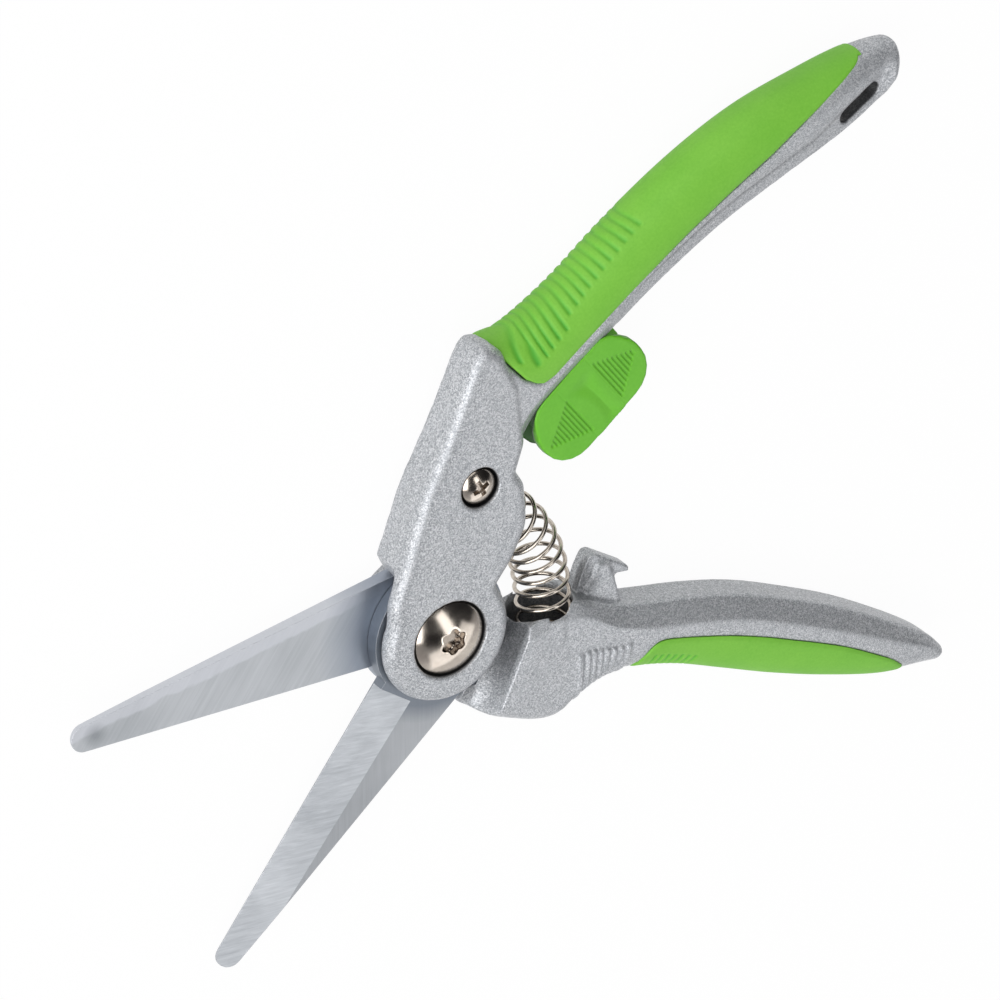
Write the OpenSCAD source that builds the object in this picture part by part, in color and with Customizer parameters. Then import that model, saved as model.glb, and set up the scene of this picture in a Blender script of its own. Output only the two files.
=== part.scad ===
// Garden snips with two straight blades, drawn open as the spring holds them.
// The pivot axis is Z, the blades point to -X and the handles to +X. The tool lies on its back:
// z = 0 is the table, and the blades meet in the plane at half the handle thickness.

/* [Overall] */
// Thickness of both handles from front to back
handle_t = 13; // [12:0.5:16]
// Angle between the two blades when the tool is open
open_angle = 51; // [46:1:54]

/* [Blades] */
// Thickness of each blade
blade_t = 3; // [2.4:0.1:3.4]
// Distance from the pivot to the centre of the blade's round tip
blade_reach = 68; // [50:1:90]
// Radius of the round disc at the pivot
disc_r = 13.1; // [11.5:0.1:13.6]
// Radius of the blade's round tip
tip_r = 2.5; // [1.5:0.1:4]
// How far the cutting edge passes from the pivot axis
edge_offset = 5; // [3:0.1:7]
// Width of the ground bevel
bevel_w = 7.3; // [4:0.1:9]
// Thickness left at the cutting edge
edge_t = 0.3; // [0.2:0.05:0.6]
// Play between the two blades at the mating plane
blade_play = 0.1; // [0.05:0.05:0.3]

/* [Pivot] */
// Diameter of the bolt's shank
pivot_d = 8; // [6:0.1:9]
// Radial running clearance round the shank
pivot_play = 0.06; // [0.02:0.01:0.1]
// Diameter of the bolt's domed head
bolt_head_d = 13.6; // [11:0.1:14.4]
// Height of the bolt's domed head
bolt_head_h = 2.6; // [1.8:0.1:3.4]
// Radial gap round the bolt head and the nut
head_gap = 0.5; // [0.2:0.05:0.8]
// Depth of the bolt's counterbore in the boss
bolt_sink = 1.6; // [1:0.1:2]
// Width of the lock nut across its flats
nut_af = 10; // [8.5:0.1:11]
// Thickness of the washer under the nut
washer_t = 0.5; // [0.3:0.1:0.8]
// Radius of each handle's boss
boss_r = 12.5; // [11.5:0.1:13]

/* [Blade screws] */
// Diameter of the screw's shank
screw_d = 3; // [2.5:0.1:3.5]
// Diameter of the screw's pan head
screw_head_d = 6; // [5:0.1:6.6]
// Height of the screw's pan head
screw_head_h = 2; // [1.4:0.1:2.4]
// Radial gap round the screw head
screw_gap = 0.8; // [0.3:0.1:1]

/* [Handles] */
// Rounding along the front edge of the upper head
head_round = 2.4; // [1:0.1:3]
// Number of cast finger ribs under the lower handle
rib_count = 8; // [4:1:10]
// Distance from one finger rib to the next
rib_pitch = 1.7; // [1.4:0.1:2]
// How far a finger rib stands out
rib_h = 0.5; // [0.2:0.1:0.8]
// Length of the hang slot
slot_l = 9.5; // [7:0.5:12]
// Width of the hang slot
slot_w = 3; // [2:0.1:3.5]

/* [Grips] */
// Thickness of the rubber inlays
grip_t = 1.8; // [1.2:0.1:2.4]
// How far the rubber stands out of the metal
grip_proud = 0.25; // [0.1:0.05:0.5]
// Number of cross grooves in the upper grip
groove_count = 14; // [6:1:16]
// Number of cross grooves in the lower grip
lower_groove_count = 7; // [3:1:8]
// Distance from one groove to the next in the upper grip
groove_pitch = 2.6; // [2:0.1:3]
// Depth of a cross groove
groove_depth = 0.6; // [0.3:0.1:0.9]

/* [Spring] */
// Diameter of the spring wire
wire_d = 0.8; // [0.6:0.05:1]
// Outer diameter of the coil
coil_d = 10.4; // [8:0.1:10.6]
// Number of turns
coil_turns = 11; // [8:1:14]
// Radial clearance between the coil and its pockets
pocket_play = 0.3; // [0.25:0.05:0.4]
// Depth of the pocket in the upper handle
upper_pocket = 5; // [4:0.5:6]
// Depth of the pocket in the lower handle
lower_pocket = 8.5; // [6:0.5:9]

/* [Lock] */
// Length of the thumb slider
slider_l = 24.6; // [22:0.2:26]
// Width of the thumb slider
slider_w = 13.8; // [12:0.2:14.4]
// Thickness of the thumb slider
slider_t = 10.2; // [8:0.2:11]
// Travel of the slider from open to locked
slider_travel = 3.2; // [2.6:0.1:3.4]
// Clearance of the slider in its channel
slider_play = 0.3; // [0.2:0.05:0.5]
// Thickness of the hook on the lower handle
hook_t = 4.4; // [3:0.1:5]
// Clearance on each side of the hook when it is shut
hook_play = 0.5; // [0.3:0.05:0.8]

/* [Hidden] */

$fn = 64;
half_t = handle_t / 2;
far = 60;
// The arms are thinner than the head by the part of the rubber that stands proud
arm_h = half_t - grip_proud;
rib_base = half_t - rib_h - 0.1;

silver = [0.74, 0.75, 0.77];
steel = [0.66, 0.67, 0.69];
plated = [0.80, 0.78, 0.74];
green = [0.44, 0.72, 0.22];
nylon = [0.90, 0.90, 0.86];

// Curves, rounded outlines and skins

function unit(v) = v / norm(v);
function turned(a) = [cos(a), sin(a)];
function catmull(a, b, c, d, t) =
    (2 * b + (c - a) * t + (2 * a - 5 * b + 4 * c - d) * t * t + (3 * b - a - 3 * c + d) * t * t * t) / 2;
function along(stations, u) =
    let (last = len(stations) - 1, i = max(0, min(floor(u), last - 1)))
    catmull(stations[max(i - 1, 0)], stations[i], stations[i + 1], stations[min(i + 2, last)], u - i);

// Distance along the stations, and the station number at a distance
function run(stations, i) =
    i == 0 ? 0 : run(stations, i - 1) + norm([for (k = [0 : 1]) stations[i][k] - stations[i - 1][k]]);
function station_at(stations, d) =
    lookup(d, [for (i = [0 : len(stations) - 1]) [run(stations, i), i]]);

// A polygon of corners [x, y, radius], each rounded with a short arc
corner_steps = 5;
function corner(before, p, after, r) =
    let (
        u = unit(before - p),
        v = unit(after - p),
        half = acos(u * v) / 2,
        centre = p + unit(u + v) * r / sin(half),
        from = p + u * r / tan(half) - centre,
        to = p + v * r / tan(half) - centre,
        a = atan2(from[1], from[0]),
        sweep = (atan2(to[1], to[0]) - a + 540) % 360 - 180
    )
    [for (k = [0 : corner_steps]) centre + r * turned(a + sweep * k / corner_steps)];
function xy(p) = [p[0], p[1]];
function rounded(corners) = [
    for (i = [0 : len(corners) - 1])
        let (n = len(corners), p = corners[i])
        each p[2] == 0
            ? [xy(p)]
            : corner(xy(corners[(i + n - 1) % n]), xy(p), xy(corners[(i + 1) % n]), p[2])
];

// An outline moved inwards along its normals
function inset(outline, d) = [
    for (i = [0 : len(outline) - 1])
        let (n = len(outline), edge = unit(outline[(i + 1) % n] - outline[(i + n - 1) % n]))
        outline[i] + d * [-edge[1], edge[0]]
];

// Sides of a skin over rings with equal numbers of points
function sides(count, n) = [
    for (i = [0 : count - 2], j = [0 : n - 1])
        let (a = i * n + j, b = i * n + (j + 1) % n)
        each [[a, b + n, a + n], [a, b, b + n]]
];
// A skin whose rings are folded in two: the caps join each point to its partner across the fold
module folded_skin(rings) {
    n = len(rings[0]);
    end = (len(rings) - 1) * n;
    caps = [
        for (j = [0 : n / 2 - 2])
            let (a = j, b = j + 1, c = n - 2 - j, d = n - 1 - j)
            each [[a, c, b], [a, d, c], [end + a, end + b, end + c], [end + a, end + c, end + d]]
    ];
    polyhedron([for (r = rings) each r], concat(sides(len(rings), n), caps), convexity = 8);
}
// A skin whose caps are fans about the first and the last middle point
module fanned_skin(rings, first, last) {
    n = len(rings[0]);
    end = (len(rings) - 1) * n;
    mid = len(rings) * n;
    caps = [
        for (j = [0 : n - 1])
            let (k = (j + 1) % n)
            each [[mid, k, j], [mid + 1, end + j, end + k]]
    ];
    points = concat([for (r = rings) each r], [first, last]);
    polyhedron(points, concat(sides(len(rings), n), caps), convexity = 8);
}

// A slab over an outline; the upper edge, and the lower one if asked, is rounded.
// It is made a little thicker and then cut flat, so that each of its faces is one plane.
round_steps = 4;
module rounded_slab(outline, mid, low, high, r, both = false) {
    spare = r * (1 - sin(90 - 90 / round_steps)) / 2;
    top = high + spare;
    bottom = low - spare;
    arc = [for (k = [0 : round_steps]) let (q = 90 * k / round_steps) [r * sin(q), r - r * cos(q)]];
    over = [for (k = [round_steps : -1 : 0]) [top - r + arc[k][0], arc[k][1]]];
    under = [for (a = arc) [bottom + r - a[0], a[1]]];
    levels = concat(over, both ? under : [[bottom, 0]]);
    rings = [for (v = levels) [for (p = inset(outline, v[1])) [p[0], p[1], v[0]]]];
    intersection() {
        fanned_skin(rings, [mid[0], mid[1], top], [mid[0], mid[1], bottom]);
        translate([-far, -far, low]) cube([2 * far, 2 * far, high - low]);
    }
}

// Handle sections
// A station is [x, y, direction across, width, half thickness, chamfer width, chamfer height, rounding].
// x, y lies on the flat inner face and the section runs outwards from there.

arc_steps = 6;
outer_flat = 0.4;
// Shares of the width between which a swelling rises
swell_from = 0.47;
swell_to = 0.51;
function front_z(station, s) =
    let (w = station[3], h = station[4], rx = station[7], rz = h - outer_flat)
    s <= w - rx ? h : outer_flat + rz * sqrt(max(0, 1 - pow((s - w + rx) / rx, 2)));
function swollen(station, e) =
    [for (k = [0 : 7]) station[k] + (k == 3 || k == 4 || k == 7 ? e : 0)];
function half_section(station, e) =
    let (fat = swollen(station, e), w = fat[3], rx = fat[7], flat = w - rx)
    concat(
        [[0, station[4] - station[6]], [min(station[5], 0.8 * flat), station[4]]],
        [[min(swell_from * w, 0.9 * flat), station[4]], [min(swell_to * w, 0.95 * flat), fat[4]]],
        [for (k = [0 : arc_steps]) let (s = w - rx + rx * sin(90 * k / arc_steps)) [s, front_z(fat, s)]]
    );
function place(station, s, z) =
    [station[0] + s * cos(station[2]), station[1] + s * sin(station[2]), z];
function mirrored_ring(station, half) =
    let (n = len(half))
    concat(
        [for (k = [0 : n - 1]) place(station, half[k][0], half[k][1])],
        [for (k = [n - 1 : -1 : 0]) place(station, half[k][0], -half[k][1])]
    );
function ring(station, e = 0) = mirrored_ring(station, half_section(station, e));

// Rounded end of an arm: the last section shrinks as it moves on
end_round = 1.2;
end_steps = 3;
end_sweep = 75;
function ended(station, q) =
    let (d = end_round * (1 - cos(q)), on = end_round * sin(q), a = station[2])
    [
        station[0] + d * cos(a) + on * cos(a - 90),
        station[1] + d * sin(a) + on * sin(a - 90),
        a, station[3] - 2 * d, station[4] - d, station[5], station[6], station[7] - d
    ];

// An arm lofted over rows [station number, swelling]
module arm(stations, rows) {
    last = stations[len(stations) - 1];
    folded_skin(concat(
        [for (row = rows) ring(along(stations, row[0]), row[1])],
        [for (k = [1 : end_steps]) ring(ended(last, end_sweep * k / end_steps))]
    ));
}
rows_per_station = 4;
function plain_rows(from, to) =
    [for (i = [from * rows_per_station : to * rows_per_station]) [i / rows_per_station, 0]];

// Upper arm, from the spring bay to the hang slot
upper_stations = [
    [23.9, 17.2, 150, 11.7, half_t - 0.6, 1.5, 1.5, 5.0],
    [27.4, 22.0, 132, 14.1, half_t - 0.6, 2.5, 2.0, 6.0],
    [32.5, 25.0, 112, 17.5, half_t - 0.4, 3.4, 2.5, 8.4],
    [36.2, 26.1, 106, 17.8, half_t - 0.3, 3.6, 2.6, 8.8],
    [40.0, 26.8, 101, 15.3, arm_h, 3.8, 2.7, 8.4],
    [51.0, 28.8, 102, 13.9, arm_h, 3.8, 2.7, 7.6],
    [64.0, 30.9, 99, 14.3, arm_h, 3.8, 2.7, 7.8],
    [78.5, 32.1, 92, 14.9, arm_h, 3.8, 2.7, 8.2],
    [92.0, 31.7, 87, 15.2, arm_h, 3.8, 2.7, 8.4],
    [105.0, 31.0, 80, 13.4, half_t - 0.3, 3.8, 2.7, 7.6],
    [113.0, 31.0, 66, 11.5, half_t - 0.9, 3.8, 2.4, 6.4],
    [117.2, 31.2, 50, 10.0, half_t - 1.7, 3.6, 2.0, 5.4]
];
upper_last = len(upper_stations) - 1;

// Lower body and arm, drawn on the upper side and mirrored into place
lower_stations = [
    [13.7, 10.4, 155, 18.4, half_t, 2.8, 0.9, 3.0],
    [17.2, 11.0, 135, 21.0, half_t - 0.2, 3.0, 0.9, 3.2],
    [20.6, 11.8, 118, 23.4, rib_base, 3.0, 0.9, 3.6],
    [25.4, 14.8, 118.5, 19.7, rib_base, 3.0, 1.5, 4.5],
    [30.2, 21.2, 123, 14.6, rib_base, 3.4, 2.5, 6.2],
    [36.2, 26.3, 125.5, 13.3, arm_h, 3.8, 2.7, 7.4],
    [44.8, 32.8, 130, 14.1, arm_h, 3.8, 2.7, 8.2],
    [53.8, 40.7, 133.5, 15.5, arm_h, 3.8, 2.7, 8.6],
    [62.4, 50.4, 136.5, 15.5, arm_h, 3.8, 2.7, 8.6],
    [70.6, 60.7, 138, 14.2, arm_h, 3.6, 2.6, 7.8],
    [78.1, 71.9, 139, 11.0, half_t - 0.8, 2.8, 2.4, 6.2],
    [82.8, 80.0, 137, 6.6, half_t - 1.8, 1.6, 1.8, 4.2],
    [84.3, 84.4, 140, 3.8, half_t - 2.9, 0.9, 1.2, 2.5]
];
lower_last = len(lower_stations) - 1;

// Finger ribs: rows of the lower body that swell one after another
rib_from = 2.5;
rib_to = 5;
rib_start = run(lower_stations, 2) + 4.4;
rib_rows = [
    for (k = [0 : rib_count - 1], step = [[-0.42, 0], [-0.2, 1], [0.2, 1], [0.42, 0]])
        [station_at(lower_stations, rib_start + (k + step[0]) * rib_pitch), step[1] * rib_h]
];
lower_rows = concat(plain_rows(0, rib_from), rib_rows, plain_rows(rib_to, lower_last));

// Outline of the upper head: spring bay, shoulder, outer wall and boss
bay_corners = [[22.6, 8.8, 6], [25.3, 15.0, 0]];
boss_from = 134;
boss_to = 371;
head_outline = concat(
    rounded(concat(
        [[boss_r * cos(boss_to), boss_r * sin(boss_to), 0], [17.0, 4.6, 6]],
        [bay_corners[0], [25.4, 16.3, 0], [25.1, 19.6, 0]],
        [[28.9, 23.4, 0], [33.0, 34.0, 0], [32.7, 47.8, 2.9]],
        [[7.9, 28.3, 30], [-6.7, 13.1, 0]],
        [[boss_r * cos(boss_from), boss_r * sin(boss_from), 0]]
    )),
    [for (a = [boss_from + 10 : 10 : boss_to - 10]) boss_r * turned(a)]
);
bay_outline = rounded(concat(
    [[15.4, 3.1, 2]], bay_corners, [[26, 21, 2.4], [22, 26, 2.4], [12.5, 19, 3], [12.5, 9, 5]]
));

// Places that several pieces share

blade_low = blade_play / 2;
blade_high = blade_low + blade_t;
upper_screw = [17.7, 22.5];
lower_screw = [6.5, -21];
tang_w = 8;
tang_end_r = 4.4;
seat_play = 0.15;
boss_floor = half_t - bolt_sink;
nut_h = 1.9;
face_play = 0.05;
nut_floor = -half_t + nut_h + washer_t + 2 * face_play;
nut_bore_r = nut_af / sqrt(3) + head_gap;
screw_floor = half_t - screw_head_h;
thread_d = pivot_d - 2;

// Spring pockets: centre of the mouth and the way out of it
coil_r = (coil_d - wire_d) / 2;
pocket_r = coil_d / 2 + pocket_play;
upper_mouth = [22.2, 7.2];
upper_out = turned(-68);
lower_mouth = [19.3, -13.2];
lower_out = turned(70);
// The mouth of the lower pocket is wider towards the pivot
mouth_shift = 1.3;
mouth_h = 4;

// Slider: its middle, its slope and the arm face that it runs along
slider_mid = [43.5, 20.2];
slider_tilt = 12.5;
arm_face = 7;
slider_top = arm_face - slider_play;
neck_half = 8;
neck_t = 3.8;
flange_t = 6.2;
flange_low = 8.6;
flange_high = 10.2;
lip_t = 1.2;
lip_left = -5.4;
hook_top = 1.8;
barb_room = 0.7;

// Hook outline, drawn on the upper side as the lower arm is
hook_points = rounded([
    [24.8, 22.0, 0], [25.6, 14.8, 1.5], [28.2, 12.1, 3], [31.5, 9.7, 1.3],
    [36.6, 18.1, 0.6], [36.1, 19.1, 0.4], [33.1, 17.0, 0.8], [32.2, 22.0, 1], [31.5, 27.0, 0]
]);
// The neck stands out in front of the hook's flank
hook_neck = rounded([
    [25.5, 22.0, 0], [27.1, 15.1, 0], [29.8, 14.0, 1.5], [31.2, 12.3, 0.6],
    [33.2, 13.5, 0.6], [33.1, 17.0, 0], [32.2, 22.0, 1], [31.5, 27.0, 0]
]);
hook_step = 0.8;

module placed() {
    translate([0, 0, half_t]) children();
}
module lower_side() {
    mirror([0, 1, 0]) children();
}
module rear_side() {
    rotate([180, 0, 0]) children();
}
function over(p) = [p[0], -p[1]];

// A straight round hole or pin between two heights
module post(r, low, high) {
    translate([0, 0, low]) cylinder(r = r, h = high - low);
}

// Blades

edge_lean = asin((edge_offset - tip_r) / blade_reach);
spine_lean = asin((disc_r - tip_r) / blade_reach);
edge_root = 180 + edge_lean - asin(edge_offset / disc_r);
arc_step = 6;
blade_tip = [-blade_reach, 0];
blade_outline = concat(
    [for (a = [90 + edge_lean : 2 * arc_step : 270 - spine_lean]) blade_tip + tip_r * turned(a)],
    [blade_tip + tip_r * turned(270 - spine_lean)],
    [for (a = [270 - spine_lean : arc_step : edge_root + 360]) disc_r * turned(a)],
    [disc_r * turned(edge_root)]
);
module tang_plan(screw, grow) {
    rotate(atan2(screw[1], screw[0])) {
        translate([0, -tang_w / 2 - grow]) square([norm(screw), tang_w + 2 * grow]);
        translate([norm(screw), 0]) circle(tang_end_r + grow);
    }
}
bevel_start = boss_r + 1;
bevel_rise = (blade_t - edge_t) / bevel_w;
bevel_over = 3;
module blade(screw) {
    difference() {
        translate([0, 0, blade_low]) linear_extrude(blade_t) {
            rotate(open_angle / 2) polygon(blade_outline);
            tang_plan(screw, 0);
        }
        post(pivot_d / 2 + pivot_play, 0, far);
        translate(screw) post(screw_d / 2 + seat_play, 0, far);
        rotate(open_angle / 2 + edge_lean)
            translate([-bevel_start, edge_offset, blade_low])
            rotate([90, 0, -90])
            linear_extrude(blade_reach)
            polygon([
                [-bevel_over, edge_t - bevel_over * bevel_rise],
                [bevel_w + bevel_over, blade_t + bevel_over * bevel_rise],
                [-bevel_over, blade_t + bevel_over * bevel_rise]
            ]);
    }
}
module upper_blade() {
    color(steel) placed() blade(upper_screw);
}
module lower_blade() {
    color(steel) placed() rear_side() blade(over(lower_screw));
}

// Room for a blade's disc and tang in its handle
module blade_room(screw) {
    post(disc_r + seat_play, -blade_low, blade_high);
    translate([0, 0, -blade_low]) linear_extrude(blade_high + blade_low) tang_plan(screw, seat_play);
}
module screw_room(screw) {
    translate(screw) {
        post(screw_d / 2, -half_t + bolt_sink, half_t);
        post(screw_head_d / 2 + screw_gap, screw_floor, far);
    }
}

// Grips: rubber inlays that follow the arm from row to row
// An edge table gives the distance of the rubber's edge from the inner face at each station number.

upper_edge = [
    [3.05, 9.5], [3.2, 7.2], [3.5, 5.8], [4, 5.2], [5, 5.4], [6, 5.2], [7, 5.9], [8, 7.4], [8.5, 8.8],
    [9, 10.2], [9.6, 11.2]
];
lower_edge = [
    [4.86, 11.5], [4.94, 9.6], [5.05, 8.0], [5.2, 7.0], [5.4, 6.8], [5.9, 7.1], [7, 7.5], [8, 7.3],
    [9, 6.9], [10, 6.9], [10.4, 7.6]
];
grip_steps = 5;
function grip_half(station, edge, over) =
    let (fat = swollen(station, over), w = fat[3])
    [
        for (k = [0 : grip_steps])
            let (s = edge + (w - edge) * sin(90 * k / grip_steps))
            [s, front_z(fat, s)]
    ];
function groove_share(k, start) = max(0, min(1, (k / grip_steps - start) * 4));
function grooved(half, depth, start) = [
    for (k = [0 : len(half) - 1])
        let (away = unit([half[k][0] - half[0][0] + half[0][1], half[k][1]]))
        half[k] - away * depth * groove_share(k, start)
];
function grip_ring(station, edge, play, depth, start) =
    let (
        t = min(grip_t, 0.55 * (station[3] - edge)) + play,
        outside = grooved(grip_half(station, edge - play, grip_proud + play), depth, start),
        inside = grip_half(station, edge - play, -t),
        n = grip_steps
    )
    concat(
        [for (k = [0 : n]) place(station, outside[k][0], outside[k][1])],
        [for (k = [n : -1 : 0]) place(station, outside[k][0], -outside[k][1])],
        [for (k = [0 : n]) place(station, inside[k][0], -inside[k][1])],
        [for (k = [n : -1 : 0]) place(station, inside[k][0], inside[k][1])]
    );
// Rows of a grip: [station number, groove depth, where the groove starts round the section]
function groove_rows(stations, first, count, pitch) = [
    for (k = [0 : count - 1], step = [[-0.34, 0], [-0.12, 1], [0.12, 1], [0.34, 0]])
        [
            station_at(stations, first + (k + step[0]) * pitch),
            step[1] * groove_depth,
            0.2 + 0.5 * k / count
        ]
];
function start_rows(from) = [for (k = [0 : 2]) [from + 0.08 * k, 0, 0]];
grip_gap = 0.25;
function smooth_rows(from, to) =
    let (n = ceil((to - from) / grip_gap))
    [for (i = [0 : n]) [from + (to - from) * i / n, 0, 0]];
module grip(stations, edge, rows, play) {
    folded_skin([
        for (row = rows)
            grip_ring(along(stations, row[0]), lookup(row[0], edge), play, row[1], row[2])
    ]);
}
upper_from = upper_edge[0][0];
upper_to = upper_edge[len(upper_edge) - 1][0];
lower_from = lower_edge[0][0];
lower_to = lower_edge[len(lower_edge) - 1][0];
function rows_after(rows) = rows[len(rows) - 1][0] + 0.1;
upper_grooves_at = run(upper_stations, 2) + 5.6;
upper_groove_rows = groove_rows(upper_stations, upper_grooves_at, groove_count, groove_pitch);
upper_grip_rows = concat(
    [[upper_from, 0, 0]], upper_groove_rows, smooth_rows(rows_after(upper_groove_rows), upper_to)
);
lower_grooves_at = run(lower_stations, 5) + 2.2;
lower_groove_rows = groove_rows(lower_stations, lower_grooves_at, lower_groove_count, rib_pitch);
lower_grip_rows = concat(
    start_rows(lower_from), lower_groove_rows, smooth_rows(rows_after(lower_groove_rows), lower_to)
);
bed_play = 0.2;
bed_over = 0.06;
module upper_grip() {
    color(green) placed() grip(upper_stations, upper_edge, upper_grip_rows, 0);
}
module lower_grip() {
    color(green) placed() lower_side() grip(lower_stations, lower_edge, lower_grip_rows, 0);
}
module upper_bed() {
    grip(upper_stations, upper_edge, smooth_rows(upper_from - bed_over, upper_to + bed_over), bed_play);
}
module lower_bed() {
    rows = concat([[lower_from - bed_over]], lower_grip_rows, [[lower_to + bed_over]]);
    grip(lower_stations, lower_edge, [for (row = rows) [row[0], 0, 0]], bed_play);
}

// A spring pocket: a round hole from beyond the mouth down to its depth
module spring_pocket(mouth, out, depth) {
    translate([mouth[0] - depth * out[0], mouth[1] - depth * out[1], 0])
        rotate([0, 90, atan2(out[1], out[0])])
        cylinder(r = pocket_r, h = depth + coil_d);
}

// Upper handle

module slider_frame() {
    translate(slider_mid) rotate(slider_tilt) children();
}
// Room for the slider's round end in the locked position and for its back along the arm
module slider_room() {
    r = slider_w / 2 + slider_play;
    end = -slider_l / 2 + slider_w / 2 - slider_travel;
    translate([0, 0, -slider_t / 2 - slider_play]) linear_extrude(slider_t + 2 * slider_play) {
        translate([end, 0]) circle(r);
        translate([end, -r]) square([slider_l / 2 - end, r + arm_face]);
    }
}
module slider_channel() {
    left = -neck_half - slider_travel - 2;
    right = neck_half + slider_play;
    slider_frame() {
        slider_room();
        translate([left, slider_top - 1, -neck_t / 2 - slider_play])
            cube([right - left, flange_high + slider_play - slider_top + 1, neck_t + 2 * slider_play]);
        translate([left, flange_low - slider_play, -flange_t / 2 - slider_play])
            cube([right - left, flange_high - flange_low + 2 * slider_play, flange_t + 2 * slider_play]);
    }
}
hook_room = hook_t / 2 + hook_play;
hang_mid = [112, 34.2];
hang_tilt = 4;
module hang_slot() {
    translate([hang_mid[0], hang_mid[1], -far / 2]) rotate(hang_tilt) linear_extrude(far) {
        square([slot_l - slot_w, slot_w], center = true);
        for (side = [-1, 1]) translate([side * (slot_l - slot_w) / 2, 0]) circle(slot_w / 2);
    }
}
bay_mid = [19, 14];
bay_round = 1.2;
// The outer wall runs down behind the blades, less and less towards the shoulder, and stops short of them
skirt_h = 2.9;
skirt_gap = 1.6;
wall_end = -1.8;
wall_tilt = 38.8;
skirt_rise = 2.8;
module head() {
    difference() {
        rounded_slab(head_outline, upper_screw, -far / 4, half_t, head_round);
        translate([wall_end, 17.5, -skirt_h])
            rotate([0, -skirt_rise, wall_tilt])
            translate([-far, -far, -far])
            cube([2.5 * far, 2 * far, far]);
        post(disc_r + skirt_gap, -far, blade_low);
        translate([-far, 0, -far]) cube([far + wall_end, far, far + blade_high]);
    }
}
module upper_handle() {
    color(silver) placed() difference() {
        union() {
            head();
            mirror([0, 0, 1]) rounded_slab(bay_outline, bay_mid, -blade_t, half_t, bay_round);
            arm(upper_stations, plain_rows(0, upper_last));
        }
        upper_bed();
        blade_room(upper_screw);
        screw_room(upper_screw);
        post(pivot_d / 2 + pivot_play, -far, far);
        post(bolt_head_d / 2 + head_gap, boss_floor, far);
        spring_pocket(upper_mouth, upper_out, upper_pocket);
        slider_channel();
        hang_slot();
    }
}

// Lower handle

web_points = [[11.8, 3], [12.3, 11], [5, 24], [-3, 18], [-10.5, 6]];
sweep_play = 0.35;
// The cove beside the boss: hollow round from the sweep of the blade up to the front face
cove_reach = 16.9;
cove_turn = -49.6;
cove_steps = 8;
module cove() {
    foot = disc_r + sweep_play;
    wall = [
        for (k = [0 : cove_steps])
            let (q = 90 * k / cove_steps)
            [foot + (cove_reach - foot) * sin(q), half_t - (half_t - blade_low) * cos(q)]
    ];
    rotate(cove_turn)
        rotate([90, 0, 0])
        translate([0, 0, -far / 2])
        linear_extrude(far)
        polygon(concat([[-far, blade_low]], wall, [[cove_reach, far], [-far, far]]));
}
module lower_handle() {
    color(silver) placed() difference() {
        union() {
            difference() {
                lower_side() arm(lower_stations, lower_rows);
                post(disc_r + sweep_play, -blade_high, far);
                cove();
                lower_side() lower_bed();
            }
            post(boss_r, -half_t, -blade_high);
            lower_side() translate([0, 0, -half_t]) linear_extrude(half_t - blade_high) polygon(web_points);
            lower_side() translate([0, 0, -hook_t / 2]) {
                linear_extrude(hook_t - hook_step) polygon(hook_points);
                linear_extrude(hook_t) polygon(hook_neck);
            }
        }
        rear_side() {
            blade_room(over(lower_screw));
            screw_room(over(lower_screw));
        }
        post(pivot_d / 2 + pivot_play, -far, far);
        post(nut_bore_r, -far, nut_floor);
        spring_pocket(lower_mouth, lower_out, lower_pocket);
        spring_pocket(lower_mouth + mouth_shift * [-lower_out[1], lower_out[0]], lower_out, mouth_h);
    }
}

// Pivot bolt, nut and washer

rim_h = 0.8;
lobe_n = 6;
lobe_r = 0.75;
lobe_ring = 2.1;
recess_h = 1.5;
module six_lobe() {
    circle(lobe_ring);
    for (i = [0 : lobe_n - 1]) rotate(360 / lobe_n * i) translate([lobe_ring, 0]) circle(lobe_r);
}
// Half profile of a domed head: a straight rim under a round cap
dome_steps = 8;
function dome(r, rim, h) = concat(
    [[0, 0], [r, 0]],
    [for (k = [0 : dome_steps]) let (q = 90 * k / dome_steps) [r * cos(q), rim + (h - rim) * sin(q)]]
);
module pivot_bolt() {
    color(plated) placed() difference() {
        union() {
            translate([0, 0, boss_floor])
                rotate_extrude()
                polygon(dome(bolt_head_d / 2, rim_h, bolt_head_h));
            post(pivot_d / 2, nut_floor, boss_floor);
            post(thread_d / 2, -half_t, nut_floor);
        }
        translate([0, 0, boss_floor + bolt_head_h - recess_h]) linear_extrude(far) six_lobe();
    }
}
washer_r = nut_af / 2 + 0.6;
nut_top = nut_floor - washer_t - face_play;
insert_h = 0.7;
insert_r = thread_d / 2 + 1;
module pivot_washer() {
    color(plated) placed() difference() {
        post(washer_r, nut_top, nut_floor - face_play);
        post(thread_d / 2 + seat_play, -far, far);
    }
}
module pivot_nut() {
    color(plated) placed() difference() {
        translate([0, 0, -half_t + face_play])
            cylinder(r = nut_af / sqrt(3), h = nut_top + half_t - face_play, $fn = 6);
        post(thread_d / 2 + face_play, -far, far);
        post(insert_r, -far, -half_t + face_play + insert_h);
    }
}
module nut_insert() {
    color(nylon) placed() difference() {
        post(insert_r, -half_t + face_play, -half_t + face_play + insert_h);
        post(thread_d / 2 + face_play, -far, far);
    }
}

// Blade screws

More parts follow.
